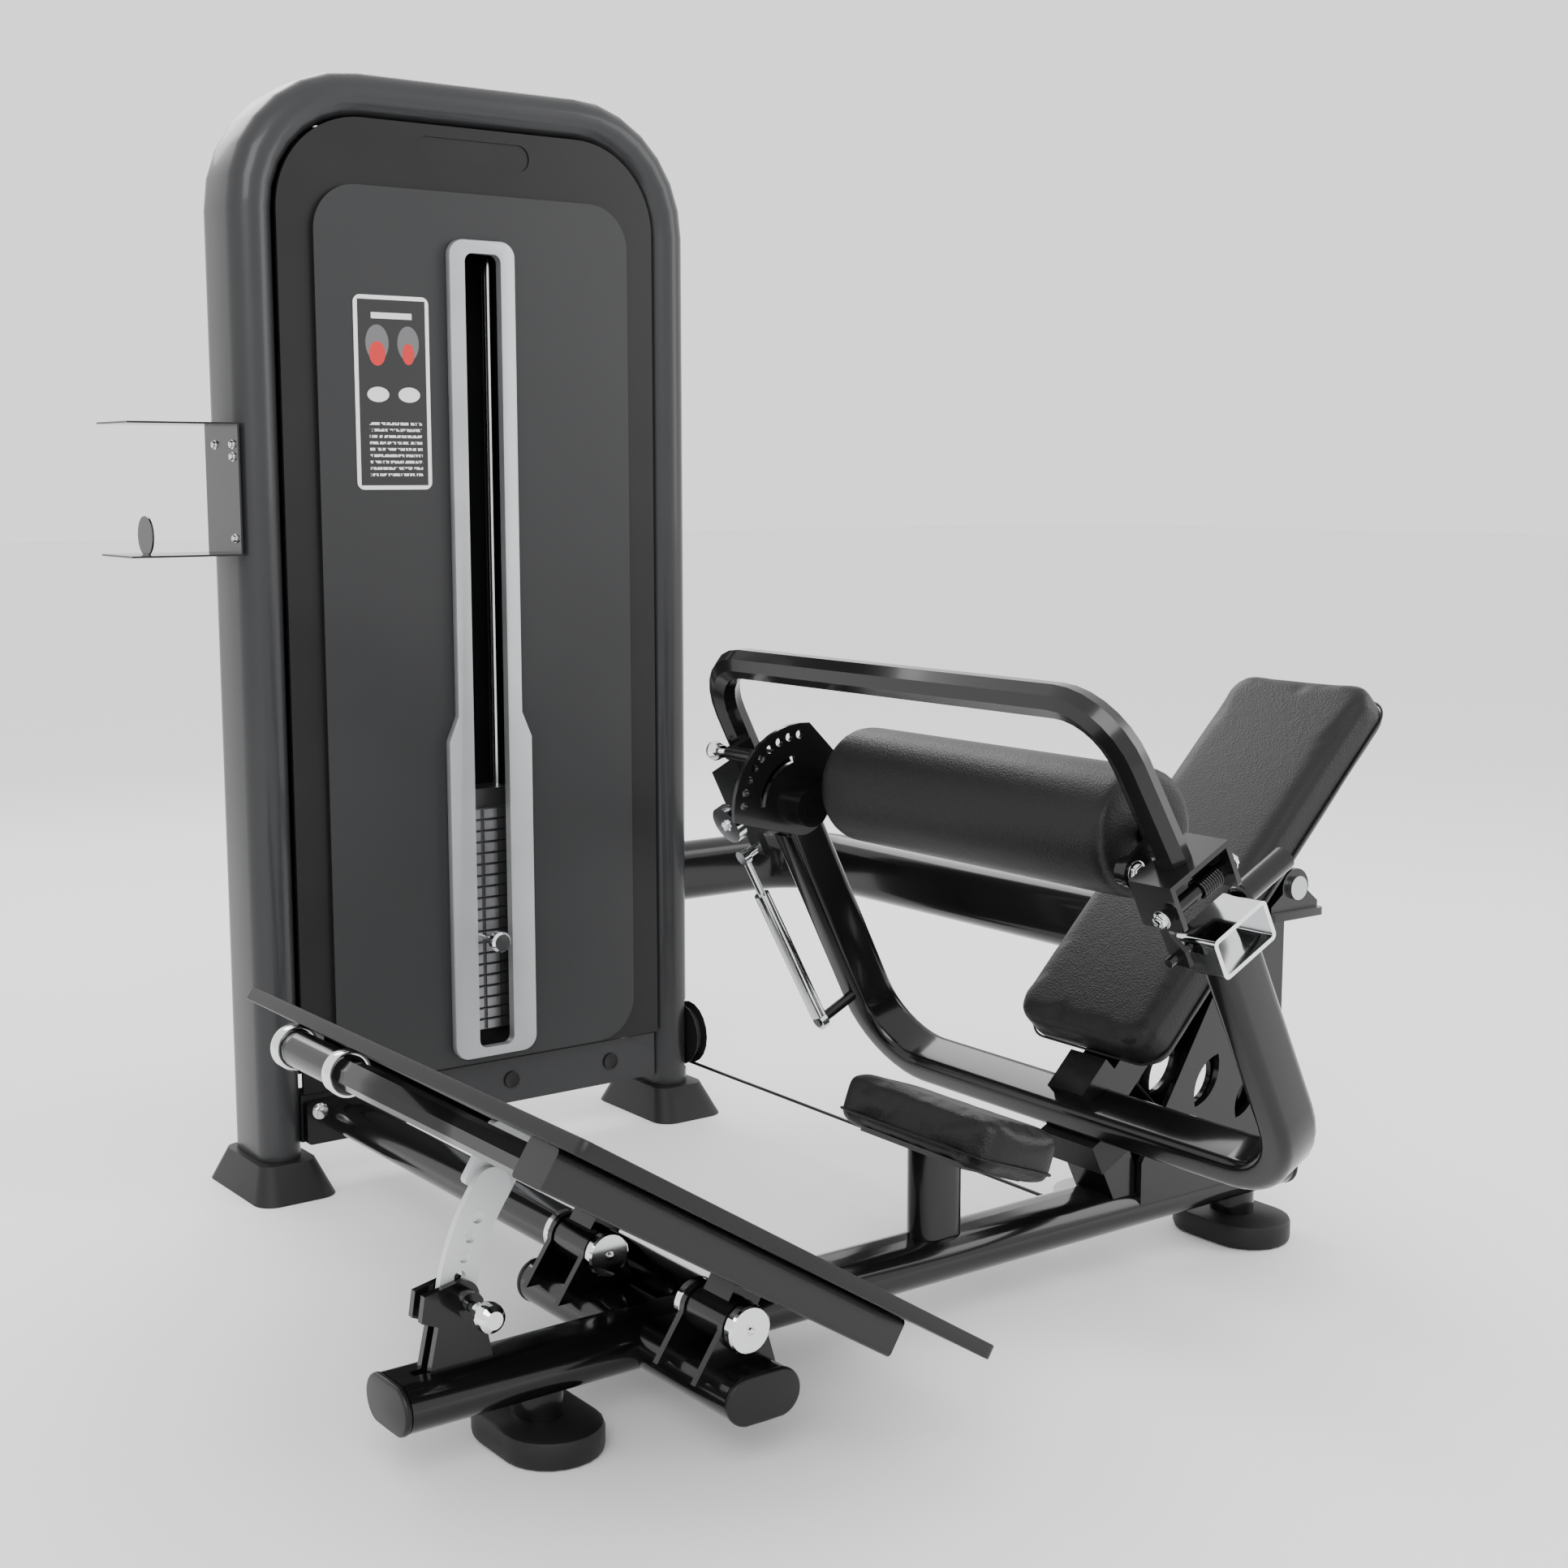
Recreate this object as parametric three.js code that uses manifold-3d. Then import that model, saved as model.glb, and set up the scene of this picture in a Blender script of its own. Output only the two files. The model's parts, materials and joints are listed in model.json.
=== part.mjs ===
// Hip thrust machine: a selectorised weight tower joined to a low bench with a hinged
// foot platform, a small seat, and a swing arm that carries the back pad, the yoke and a
// hinged hip gate with a roller. Millimetres, +Z up, the tower faces -Y.
import * as THREE from 'three';
import { mergeVertices } from 'three/addons/utils/BufferGeometryUtils.js';
import Module from 'manifold-3d';

const wasm = await Module();
wasm.setup();

// ---------------------------------------------------------------- driving dimensions
const GAP = 0.3;                  // clearance kept between touching pieces
const TOWER_WIDTH = 700;
const TOWER_HEIGHT = 1500;
const TOWER_MID_X = TOWER_WIDTH / 2;
const TUBE_FACE = 60;             // narrow side of the tower's flat-oval tube
const TUBE_DEPTH = 124;           // wide side of the tower's flat-oval tube
const SHOE_HEIGHT = 46;
const COVER_BOTTOM = 132;
const SLOT_HALF = 24;

const BENCH_Y = -931;             // centre plane of the bench
const BASE_TOP = 106;
const BASE_BOTTOM = 57;
const BASE_MID = (BASE_TOP + BASE_BOTTOM) / 2;
const BASE_DEPTH = 86;
const FOOT_HEIGHT = 31;
const FRONT_POST_X = -86;

const HINGE_X = 52;               // foot platform hinge axis
const HINGE_Z = 141;
const PLATE_SLOPE = THREE.MathUtils.degToRad(32.5);
const PLATE_LENGTH = 548;
const PLATE_HALF = 345;
const PLATE_THICK = 15;
const ARC_RADIUS = 231;           // adjuster holes' distance from the hinge axis
const ARC_STEP = THREE.MathUtils.degToRad(5);
const PIN_ANGLE = THREE.MathUtils.degToRad(8.2);

const ARM_PIVOT_X = 960;          // swing arm axis in the rear bearings
const ARM_PIVOT_Z = 465;
const YOKE_X = 650;               // middle of the yoke's bottom bar
const YOKE_Z = 230;
const YOKE_LEAN = THREE.MathUtils.degToRad(26.4);
const YOKE_HALF = 338;            // near end of the gate, from the middle
const YOKE_NEAR = 348;            // centre lines of the yoke's legs
const YOKE_FAR = 362;
const YOKE_BAR = -25;             // centre line of the yoke's bottom bar
const YOKE_OFFSET = 15;           // yoke section's centre behind the arm frame's plane
const GATE_Y = 364;               // gate hinge axis in the arm frame
const GATE_Z = 384;

const STACK_PITCH = 16.2;
const STACK_BOTTOM = 177;
const PLATES_LOWER = 8;
const PLATES_UPPER = 12;
const ROD_X = 50;                 // guide rods' distance from the tower's middle

// Whole machine moved so that the middle of its footprint is the origin.
const ORIGIN_X = 418.465;
const ORIGIN_Y = -610.5;

// ---------------------------------------------------------------- materials
const finish = (color, roughness, metalness) =>
  new THREE.MeshStandardMaterial({ color, roughness, metalness });
const GREY_PAINT = finish(0x3a3b3d, 0.35, 0.4);
const BLACK_PAINT = finish(0x101012, 0.22, 0.3);
const PANEL_GREY = finish(0x2b2c2e, 0.45, 0.2);
const SILVER = finish(0xa9abae, 0.5, 0.7);
const CHROME = finish(0xdcdddf, 0.08, 1.0);
const STEEL = finish(0x8c8e91, 0.3, 0.9);
const RUBBER = finish(0x17181a, 0.75, 0.0);
const LEATHER = finish(0x121214, 0.55, 0.0);
const PLASTIC = finish(0x0d0d0f, 0.4, 0.0);
const LIGHT_PAINT = finish(0xd5d7d9, 0.4, 0.3);

// ---------------------------------------------------------------- geometry helpers
const rad = THREE.MathUtils.degToRad;
const v2 = (x, y) => new THREE.Vector2(x, y);
const v3 = (x, y, z) => new THREE.Vector3(x, y, z);

function toSolid(geometry) {
  const bare = geometry.index ? geometry.clone() : geometry;
  bare.deleteAttribute('normal');
  bare.deleteAttribute('uv');
  const merged = mergeVertices(bare, 1e-4);
  const corners = merged.index.array;
  const faces = [];
  for (let i = 0; i < corners.length; i += 3) {
    const [a, b, c] = corners.slice(i, i + 3);
    if (a !== b && b !== c && c !== a) faces.push(a, b, c);
  }
  return new wasm.Manifold(new wasm.Mesh({
    numProp: 3,
    vertProperties: new Float32Array(merged.attributes.position.array),
    triVerts: new Uint32Array(faces),
  }));
}

function toGeometry(solid) {
  const mesh = solid.getMesh();
  const geometry = new THREE.BufferGeometry();
  geometry.setAttribute('position', new THREE.BufferAttribute(new Float32Array(mesh.vertProperties), 3));
  geometry.setIndex(new THREE.BufferAttribute(new Uint32Array(mesh.triVerts), 1));
  geometry.computeVertexNormals();
  return geometry;
}

const join = (first, ...rest) =>
  toGeometry(rest.reduce((body, piece) => body.add(toSolid(piece)), toSolid(first)));
const cut = (first, ...rest) =>
  toGeometry(rest.reduce((body, piece) => body.subtract(toSolid(piece)), toSolid(first)));

// A box given by its two corners.
function block(x0, x1, y0, y1, z0, z1) {
  return new THREE.BoxGeometry(x1 - x0, y1 - y0, z1 - z0)
    .translate((x0 + x1) / 2, (y0 + y1) / 2, (z0 + z1) / 2);
}

// Turns a geometry built along +Z so that it runs from one point to another.
function aim(geometry, from, to) {
  const turn = new THREE.Quaternion().setFromUnitVectors(v3(0, 0, 1), to.clone().sub(from).normalize());
  return geometry.applyQuaternion(turn).translate(from.x, from.y, from.z);
}

// A solid of revolution; the profile lists [radius, height] from axis to axis.
function turned(profile, from, to, segments = 24) {
  const lathe = new THREE.LatheGeometry(profile.map(([r, h]) => v2(r, h)), segments);
  return aim(lathe.rotateX(Math.PI / 2), from, to);
}

function rod(from, to, radius, segments = 20) {
  const length = from.distanceTo(to);
  return turned([[0, 0], [radius, 0], [radius, length], [0, length]], from, to, segments);
}

// A flat-oval outline, long side along x.
function oval(long, wide) {
  const r = wide / 2;
  const s = long / 2 - r;
  const shape = new THREE.Shape();
  shape.absarc(s, 0, r, -Math.PI / 2, Math.PI / 2, false);
  shape.absarc(-s, 0, r, Math.PI / 2, 1.5 * Math.PI, false);
  return shape;
}

function roundedRect(x0, x1, y0, y1, r) {
  const shape = new THREE.Shape();
  shape.absarc(x1 - r, y0 + r, r, -Math.PI / 2, 0, false);
  shape.absarc(x1 - r, y1 - r, r, 0, Math.PI / 2, false);
  shape.absarc(x0 + r, y1 - r, r, Math.PI / 2, Math.PI, false);
  shape.absarc(x0 + r, y0 + r, r, Math.PI, 1.5 * Math.PI, false);
  return shape;
}

function circle(x, y, r) {
  const path = new THREE.Path();
  path.absarc(x, y, r, 0, 2 * Math.PI, false);
  return path;
}

function polygon(points) {
  return new THREE.Shape(points.map(([x, y]) => v2(x, y)));
}

function slab(shape, depth, curveSegments = 6, bevel = 0) {
  return new THREE.ExtrudeGeometry(shape, {
    depth: depth - 2 * bevel, curveSegments,
    bevelEnabled: bevel > 0, bevelThickness: bevel, bevelSize: bevel, bevelOffset: -bevel, bevelSegments: 2,
  }).translate(0, 0, bevel);
}

// Plates drawn in the plane they lie in: (x, z), (y, z) or (x, y).
const plateXZ = (shape, y0, y1, segments, bevel) =>
  slab(shape, y1 - y0, segments, bevel).rotateX(Math.PI / 2).translate(0, y1, 0);
const plateYZ = (shape, x0, x1, segments, bevel) =>
  slab(shape, x1 - x0, segments, bevel).rotateX(Math.PI / 2).rotateZ(Math.PI / 2).translate(x0, 0, 0);
const plateXY = (shape, z0, z1, segments, bevel) =>
  slab(shape, z1 - z0, segments, bevel).translate(0, 0, z0);

// A curve through stops along straight runs and true arcs, sampled exactly at its stops.
class Route extends THREE.Curve {
  constructor(points, radius, bendSteps = 8) {
    super();
    this.stops = [];
    const last = points.length - 1;
    const add = (at, along) => this.stops.push({ at, along: along.clone().normalize() });
    add(points[0], points[1].clone().sub(points[0]));
    for (let i = 1; i < last; i++) {
      const inward = points[i].clone().sub(points[i - 1]).normalize();
      const outward = points[i + 1].clone().sub(points[i]).normalize();
      const turn = inward.angleTo(outward);
      const r = Array.isArray(radius) ? radius[i - 1] : radius;
      const back = r * Math.tan(turn / 2);
      const start = points[i].clone().addScaledVector(inward, -back);
      const side = outward.clone().addScaledVector(inward, -Math.cos(turn)).normalize();
      for (let k = 0; k <= bendSteps; k++) {
        const a = turn * k / bendSteps;
        const at = start.clone().addScaledVector(inward, r * Math.sin(a)).addScaledVector(side, r * (1 - Math.cos(a)));
        add(at, inward.clone().multiplyScalar(Math.cos(a)).addScaledVector(side, Math.sin(a)));
      }
    }
    add(points[last], points[last].clone().sub(points[last - 1]));
  }

  locate(t) {
    return this.stops[Math.round(t * (this.stops.length - 1))];
  }

  getPointAt(t) {
    return this.locate(t).at.clone();
  }

  getTangentAt(t) {
    return this.locate(t).along.clone();
  }

  getSpacedPoints() {
    return this.stops.map((stop) => stop.at.clone());
  }
}

// A section swept along a route in the local XY plane; the section's x stays across that plane.
function sweep(shape, points, radius, bendSteps, curveSegments = 5) {
  const route = new Route(points, radius, bendSteps);
  return new THREE.ExtrudeGeometry(shape, {
    steps: route.stops.length - 1, extrudePath: route, curveSegments, bevelEnabled: false,
  });
}

// ---------------------------------------------------------------- scene helpers
const machine = new THREE.Group();
const layout = new THREE.Group();
layout.position.set(-ORIGIN_X, -ORIGIN_Y, 0);
machine.add(layout);

function piece(name, geometry, material, parent = layout) {
  const mesh = new THREE.Mesh(geometry, material);
  mesh.name = name;
  parent.add(mesh);
  return mesh;
}

// ---------------------------------------------------------------- weight tower
const LEG_PULLEY = v3(700, -38, 118);
const CABLE_LOW = 72.5;           // height of the cable's run from the tower to the bench

function towerFrame() {
  const half = TUBE_FACE / 2;
  const bend = 155;
  const section = oval(TUBE_DEPTH, TUBE_FACE);
  section.holes.push(new THREE.Path(oval(TUBE_DEPTH - 8, TUBE_FACE - 8).getPoints(5)));
  const top = TOWER_HEIGHT - half;
  const tube = sweep(section, [
    v3(half, SHOE_HEIGHT + GAP, 0), v3(half, top, 0),
    v3(TOWER_WIDTH - half, top, 0), v3(TOWER_WIDTH - half, SHOE_HEIGHT + GAP, 0),
  ], bend, 7, 5).rotateX(Math.PI / 2);
  const pulleySlot = block(LEG_PULLEY.x - 13, TOWER_WIDTH + 5, -95, 18, 66, 174);
  const innerSlot = block(634, 648, -8, 12, 860, 1070);
  const outerSlot = block(688, TOWER_WIDTH + 5, -5, 12, 150, 285);
  piece('tower_frame', cut(tube, pulleySlot, innerSlot, outerSlot), GREY_PAINT);
}

function towerBars() {
  const inner0 = TUBE_FACE + GAP;
  const inner1 = TOWER_WIDTH - TUBE_FACE - GAP;
  const bar = block(inner0, inner1, -44, -4, 62, 128);
  const floor = block(TOWER_MID_X - 200, TOWER_MID_X + 200, -30, 36, 110, 149.7);
  piece('tower_bottom_bar', join(bar, floor), GREY_PAINT);
}

// A flared rubber shoe: an extruded outline that narrows towards its top.
function towerShoe(name, midX) {
  const outline = roundedRect(-58, 58, -108, 88, 28);
  const taper = 0.3;
  const shoe = plateXY(outline, 0, SHOE_HEIGHT, 5);
  const p = shoe.attributes.position;
  for (let i = 0; i < p.count; i++) {
    const k = 1 - taper * p.getZ(i) / SHOE_HEIGHT;
    p.setX(i, p.getX(i) * k);
    p.setY(i, p.getY(i) * k);
  }
  piece(name, shoe.translate(midX, 0, 0), RUBBER);
}

function coverOutline() {
  const corner = 125;
  const left = TUBE_FACE + GAP;
  const right = TOWER_WIDTH - left;
  const top = TOWER_HEIGHT - TUBE_FACE - GAP;
  const shape = new THREE.Shape();
  shape.moveTo(left, COVER_BOTTOM);
  shape.lineTo(right, COVER_BOTTOM);
  shape.absarc(right - corner, top - corner, corner, 0, Math.PI / 2, false);
  shape.absarc(left + corner, top - corner, corner, Math.PI / 2, Math.PI, false);
  return shape;
}

const slotOutline = (margin) => roundedRect(TOWER_MID_X - SLOT_HALF - margin, TOWER_MID_X + SLOT_HALF + margin,
  164 - margin, 1268 + margin, 8 + margin);

function towerCovers() {
  const sheet = plateXZ(coverOutline(), -54, -48, 8);
  const field = plateXZ(roundedRect(108, 592, COVER_BOTTOM + 4, 1352, 62), -62, -53, 7);
  const groove = plateXZ(roundedRect(262, 438, 1388, 1424, 17.5), -60, -52, 6);
  const slot = plateXZ(slotOutline(12), -70, -40, 4);
  piece('front_cover', cut(join(sheet, field), groove, slot), PANEL_GREY);
  piece('rear_cover', plateXZ(coverOutline(), 48, 54, 8), PANEL_GREY);
}

// Silver bezel: wide round the weight plates, narrower above, with the slot through it.
function slotBezel() {
  const low = 66;
  const high = 51;
  const bottom = 146;
  const shoulder = [604, 640];
  const top = 1290;
  const r = 22;
  const x = TOWER_MID_X;
  const shape = new THREE.Shape();
  shape.absarc(x + low - r, bottom + r, r, -Math.PI / 2, 0, false);
  shape.lineTo(x + low, shoulder[0]);
  shape.lineTo(x + high, shoulder[1]);
  shape.absarc(x + high - r, top - r, r, 0, Math.PI / 2, false);
  shape.absarc(x - high + r, top - r, r, Math.PI / 2, Math.PI, false);
  shape.lineTo(x - high, shoulder[1]);
  shape.lineTo(x - low, shoulder[0]);
  shape.absarc(x - low + r, bottom + r, r, Math.PI, 1.5 * Math.PI, false);
  const bezel = plateXZ(shape, -76, -62 - GAP, 5, 3);
  piece('slot_bezel', cut(bezel, plateXZ(slotOutline(4), -90, -50, 4)), SILVER);
}

function bottleHolder() {
  const shape = polygon([[-2, 0], [-2, 172], [-150, 172], [-150, 169.5], [-4.5, 169.5],
    [-4.5, 2.5], [-150, 2.5], [-150, 0]]);
  const sheet = plateXZ(shape, -55, 55, 4);
  const tab = plateYZ(roundedRect(-26, 26, 1, 52, 25), -112, -109.5, 8);
  piece('bottle_holder', join(sheet, tab).translate(1.7, 0, 868), BLACK_PAINT);
}

const STACK_FRONT = -40;
const STACK_BACK = 34;
const PLATE_HALF_WIDTH = 190;
const UPPER_BOTTOM = STACK_BOTTOM + PLATES_LOWER * STACK_PITCH;
const STACK_TOP = UPPER_BOTTOM + PLATES_UPPER * STACK_PITCH - 0.5;
const STEM_TOP = STACK_TOP + 26;
const STACK_TRAVEL = 200;

// A run of weight plates, with a shallow groove along each joint between two plates.
function stackRun(bottom, count, height) {
  const x = TOWER_MID_X;
  const body = plateXY(roundedRect(x - PLATE_HALF_WIDTH, x + PLATE_HALF_WIDTH, STACK_FRONT, STACK_BACK, 6),
    bottom, bottom + count * STACK_PITCH - 0.5, 3);
  const bushing = block(x - 70, x + 70, -24, 24, bottom + 1, bottom + height);
  const tools = [];
  for (let i = 1; i < count; i++) {
    const z = bottom + i * STACK_PITCH - 0.25;
    tools.push(block(x - 200, x + 200, STACK_FRONT - 2, STACK_FRONT + 4, z - 1, z + 1));
  }
  for (const side of [-1, 1]) {
    tools.push(rod(v3(x + side * ROD_X, 0, bottom - 5), v3(x + side * ROD_X, 0, bottom + height + 5), 11, 16));
  }
  return cut(join(body, bushing), ...tools);
}

function weightStack() {
  const x = TOWER_MID_X;
  const lowerHeight = PLATES_LOWER * STACK_PITCH - 0.5;
  piece('weight_plates_lower', stackRun(STACK_BOTTOM, PLATES_LOWER, lowerHeight), STEEL);
  const pinZ = UPPER_BOTTOM + STACK_PITCH / 2;
  const pinHole = rod(v3(x, STACK_FRONT - 5, pinZ), v3(x, 10, pinZ), 4.6, 16);
  const upper = stackRun(UPPER_BOTTOM, PLATES_UPPER, STEM_TOP - UPPER_BOTTOM);
  const cableWell = rod(v3(x, 0, STEM_TOP - STACK_TRAVEL - 3), v3(x, 0, STEM_TOP + 5), 3.6, 16);
  piece('weight_plates_upper', cut(upper, pinHole, cableWell), STEEL);
  const stem = rod(v3(x, 0, pinZ), v3(x, -84, pinZ), 4, 12);
  const knob = turned([[0, 0], [13, 0], [15, 3], [15, 13], [12, 17], [0, 17]],
    v3(x, -80, pinZ), v3(x, -97, pinZ), 20);
  piece('selector_pin', join(stem, knob), CHROME);
  const rods = [-1, 1].map((side) => rod(v3(x + side * ROD_X, 0, 150), v3(x + side * ROD_X, 0, 1300), 9.5, 16));
  const tie = cut(block(x - 120, x + 120, -20, 20, 1288, 1300), rod(v3(x, 0, 1280), v3(x, 0, 1310), 9, 16));
  piece('guide_rods', join(tie, ...rods), CHROME);
  const buffer = block(x - 170, x + 170, -30, 30, 150, STACK_BOTTOM - GAP);
  const holes = [-1, 1].map((side) => rod(v3(x + side * ROD_X, 0, 140), v3(x + side * ROD_X, 0, 190), 11, 16));
  piece('stack_buffer', cut(buffer, ...holes), RUBBER);
}

// ---------------------------------------------------------------- pulleys and cable
const TOP_PULLEY_Z = 1350;
const CORNER_PULLEY_X = 573;
const CABLE_GROOVE = 43.5;        // distance of the cable's middle from a pulley's axis
const PULLEY_RADIUS = 48;
const BENCH_PULLEY = v3(745, BENCH_Y + CABLE_GROOVE, CABLE_LOW);
const BASE_PULLEY = v3(820, BENCH_Y, CABLE_LOW + CABLE_GROOVE);
const CABLE_END = v3(762, BENCH_Y, 235);

// A grooved wheel with a plain axle; the axle reaches the same distance to both sides.
function pulley(name, centre, axis, axleHalf) {
  const half = 9;
  const bottom = CABLE_GROOVE - 4.5;
  const wheel = turned([[0, -half], [PULLEY_RADIUS, -half], [PULLEY_RADIUS, -half + 1], [bottom, -4.6],
    [bottom, 4.6], [PULLEY_RADIUS, half - 1], [PULLEY_RADIUS, half], [0, half]], v3(0, 0, 0), v3(0, 0, 1), 20);
  const axle = rod(v3(0, 0, -axleHalf), v3(0, 0, axleHalf), 9, 12);
  piece(name, aim(join(wheel, axle), centre, centre.clone().add(axis)), PLASTIC);
}

function pulleys() {
  pulley('pulley_stack', v3(TOWER_MID_X + CABLE_GROOVE, 0, TOP_PULLEY_Z), v3(0, 1, 0), 47.7);
  pulley('pulley_corner', v3(CORNER_PULLEY_X, 0, TOP_PULLEY_Z), v3(0, 1, 0), 47.7);
  pulley('pulley_leg', LEG_PULLEY, v3(1, 0, 0), 11);
  pulley('pulley_bench', BENCH_PULLEY, v3(0, 0, 1), 9.2);
  pulley('pulley_base', BASE_PULLEY, v3(0, 1, 0), 33.7);
}

// One cable, held by its pulleys from the stack's stem to the swing arm.
function cable() {
  const radius = 2.4;
  const section = polygon([0, 1, 2, 3, 4, 5, 6, 7].map((k) => [
    radius * Math.cos(k * Math.PI / 4), radius * Math.sin(k * Math.PI / 4)]));
  const overTop = TOP_PULLEY_Z + CABLE_GROOVE;
  const upFromBase = BASE_PULLEY.x + CABLE_GROOVE * Math.tan(rad(67.5));
  const points = [
    v3(TOWER_MID_X, 0, STEM_TOP + 1),
    v3(TOWER_MID_X, 0, overTop),
    v3(CORNER_PULLEY_X + CABLE_GROOVE, 0, overTop),
    v3(LEG_PULLEY.x, LEG_PULLEY.y + CABLE_GROOVE, LEG_PULLEY.z - CABLE_GROOVE),
    v3(BENCH_PULLEY.x - CABLE_GROOVE, BENCH_Y, CABLE_LOW),
    v3(upFromBase, BENCH_Y, CABLE_LOW),
    CABLE_END,
  ];
  piece('cable', sweep(section, points, CABLE_GROOVE, 6, 1), PLASTIC);
}

// ---------------------------------------------------------------- bench frame
const benchY = (offset) => BENCH_Y + offset;
const span = (side, from, to) => [benchY(side * from), benchY(side * to)].sort((a, b) => a - b);
const SIDES = [['near', -1], ['far', 1]];
const baseSection = (grow = 0) => oval(BASE_DEPTH + grow, BASE_TOP - BASE_BOTTOM + grow);
const baseSolid = (x0, x1, grow = 0) =>
  plateYZ(baseSection(grow), x0, x1, 7).translate(0, BENCH_Y, BASE_MID);
const CROSS_X = 51;
const CROSS_HALF = 197;

function baseTube() {
  const tube = baseSolid(-246, 1020);
  const posts = [FRONT_POST_X, REAR_FOOT_X].map((x) =>
    plateXY(oval(60, 46), FOOT_HEIGHT + GAP, BASE_MID, 5).rotateZ(Math.PI / 2).translate(x, BENCH_Y, 0));
  const arcSlot = block(-226, -136, benchY(-6), benchY(6), BASE_BOTTOM - 5, BASE_TOP + 5);
  const sideSlot = block(BENCH_PULLEY.x - 50, BENCH_PULLEY.x + 50, benchY(-12), benchY(60), CABLE_LOW - 9.5, CABLE_LOW + 9.5);
  const channel = block(BENCH_PULLEY.x, BASE_PULLEY.x, benchY(-5), benchY(5), CABLE_LOW - 5, CABLE_LOW + 5);
  const topSlot = block(BASE_PULLEY.x - 50, BASE_PULLEY.x + 50, benchY(-11), benchY(11), CABLE_LOW - 7, BASE_TOP + 5);
  piece('base_tube', cut(join(tube, ...posts), arcSlot, sideSlot, channel, topSlot), BLACK_PAINT);
}

// Cross tube on one side of the base, with the two cheeks that hold the platform's hinge.
function crossMember(name, side) {
  const tube = plateXZ(baseSection(), ...span(side, 15, CROSS_HALF), 7).translate(CROSS_X, 0, BASE_MID);
  const cheek = new THREE.Shape();
  cheek.moveTo(-6, BASE_TOP - 12);
  cheek.lineTo(92, BASE_TOP - 12);
  cheek.lineTo(HINGE_X + 26, HINGE_Z);
  cheek.absarc(HINGE_X, HINGE_Z, 26, 0, Math.PI, false);
  const cheeks = [[159, 167], [92, 100]].map(([from, to]) => plateXZ(cheek, ...span(side, from, to), 8));
  const pinHole = rod(v3(HINGE_X, benchY(-200), HINGE_Z), v3(HINGE_X, benchY(200), HINGE_Z), 10.3, 20);
  const base = baseSolid(CROSS_X - 80, CROSS_X + 80, 2 * GAP);
  piece(`cross_member_${name}`, cut(join(tube, ...cheeks), pinHole, base), BLACK_PAINT);
}

function hingePin(name, side) {
  const at = (offset) => v3(HINGE_X, benchY(side * offset), HINGE_Z);
  const cap = (from, to) => turned([[0, 0], [23, 0], [25, 2], [25, 10], [23, 12], [0, 12]], at(from), at(to), 24);
  piece(`hinge_pin_${name}`, join(rod(at(91), at(168), 10, 20), cap(167.3, 179), cap(91.7, 80)), CHROME);
}

const REAR_FOOT_X = 950;
function foot(name, x) {
  const pad = plateXY(oval(164, 108), 0, FOOT_HEIGHT, 6, 6).rotateZ(Math.PI / 2);
  piece(name, pad.translate(x, BENCH_Y, 0), RUBBER);
}

// Tube from the tower's left foot to the base tube, with the bracket bolted to the tower's leg.
function longTube() {
  const x = 125;
  const tube = plateXZ(oval(60, 46), benchY(30), -53, 6).translate(x, 0, 92);
  const bracket = plateXZ(roundedRect(TUBE_FACE + 1, 150, 62, 122, 6), -62, -48, 3);
  piece('long_tube', cut(join(tube, bracket), baseSolid(0, 250, 2 * GAP), block(0, 250, -47.9, 0, 0, 200)), BLACK_PAINT);
}

// ---------------------------------------------------------------- foot platform
const platform = new THREE.Group();
platform.position.set(HINGE_X, BENCH_Y, HINGE_Z);
platform.rotation.y = PLATE_SLOPE;
layout.add(platform);
const PLATE_TOP = 90;
const PLATE_BOTTOM = PLATE_TOP - PLATE_THICK;
const PLATE_START = -396;
const RAIL_START = -357;
const RAIL_END = 107;
const RAIL_MID = 236;
const RAIL_HALF = 25;
const RAIL_LOW = PLATE_BOTTOM - 40;

function footPlate() {
  const outline = roundedRect(PLATE_START, PLATE_START + PLATE_LENGTH, -PLATE_HALF, PLATE_HALF, 10);
  piece('foot_plate', plateXY(outline, PLATE_BOTTOM, PLATE_TOP, 3, 1.5), BLACK_PAINT, platform);
  for (const [name, side] of SIDES) {
    const middle = side * RAIL_MID;
    const section = roundedRect(middle - RAIL_HALF, middle + RAIL_HALF, RAIL_LOW, PLATE_BOTTOM - GAP, 5);
    piece(`platform_rail_${name}`, plateYZ(section, RAIL_START, RAIL_END, 3), BLACK_PAINT, platform);
  }
}

// Bar across the rails with the two barrels that turn on the hinge pins.
function platformCrossbar() {
  const reach = RAIL_MID - RAIL_HALF - GAP;
  const barrels = [];
  for (const [, side] of SIDES) {
    barrels.push(rod(v3(0, side * 100.5, 0), v3(0, side * 158.5, 0), 24, 24));
    barrels.push(block(-18, 18, side * 129.5 - 22, side * 129.5 + 22, 10, 40));
  }
  const bore = rod(v3(0, -200, 0), v3(0, 200, 0), 10.3, 20);
  const bar = block(-34, 34, -reach, reach, 36, PLATE_BOTTOM - GAP);
  piece('platform_crossbar', cut(join(bar, ...barrels), bore), BLACK_PAINT, platform);
}

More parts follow.
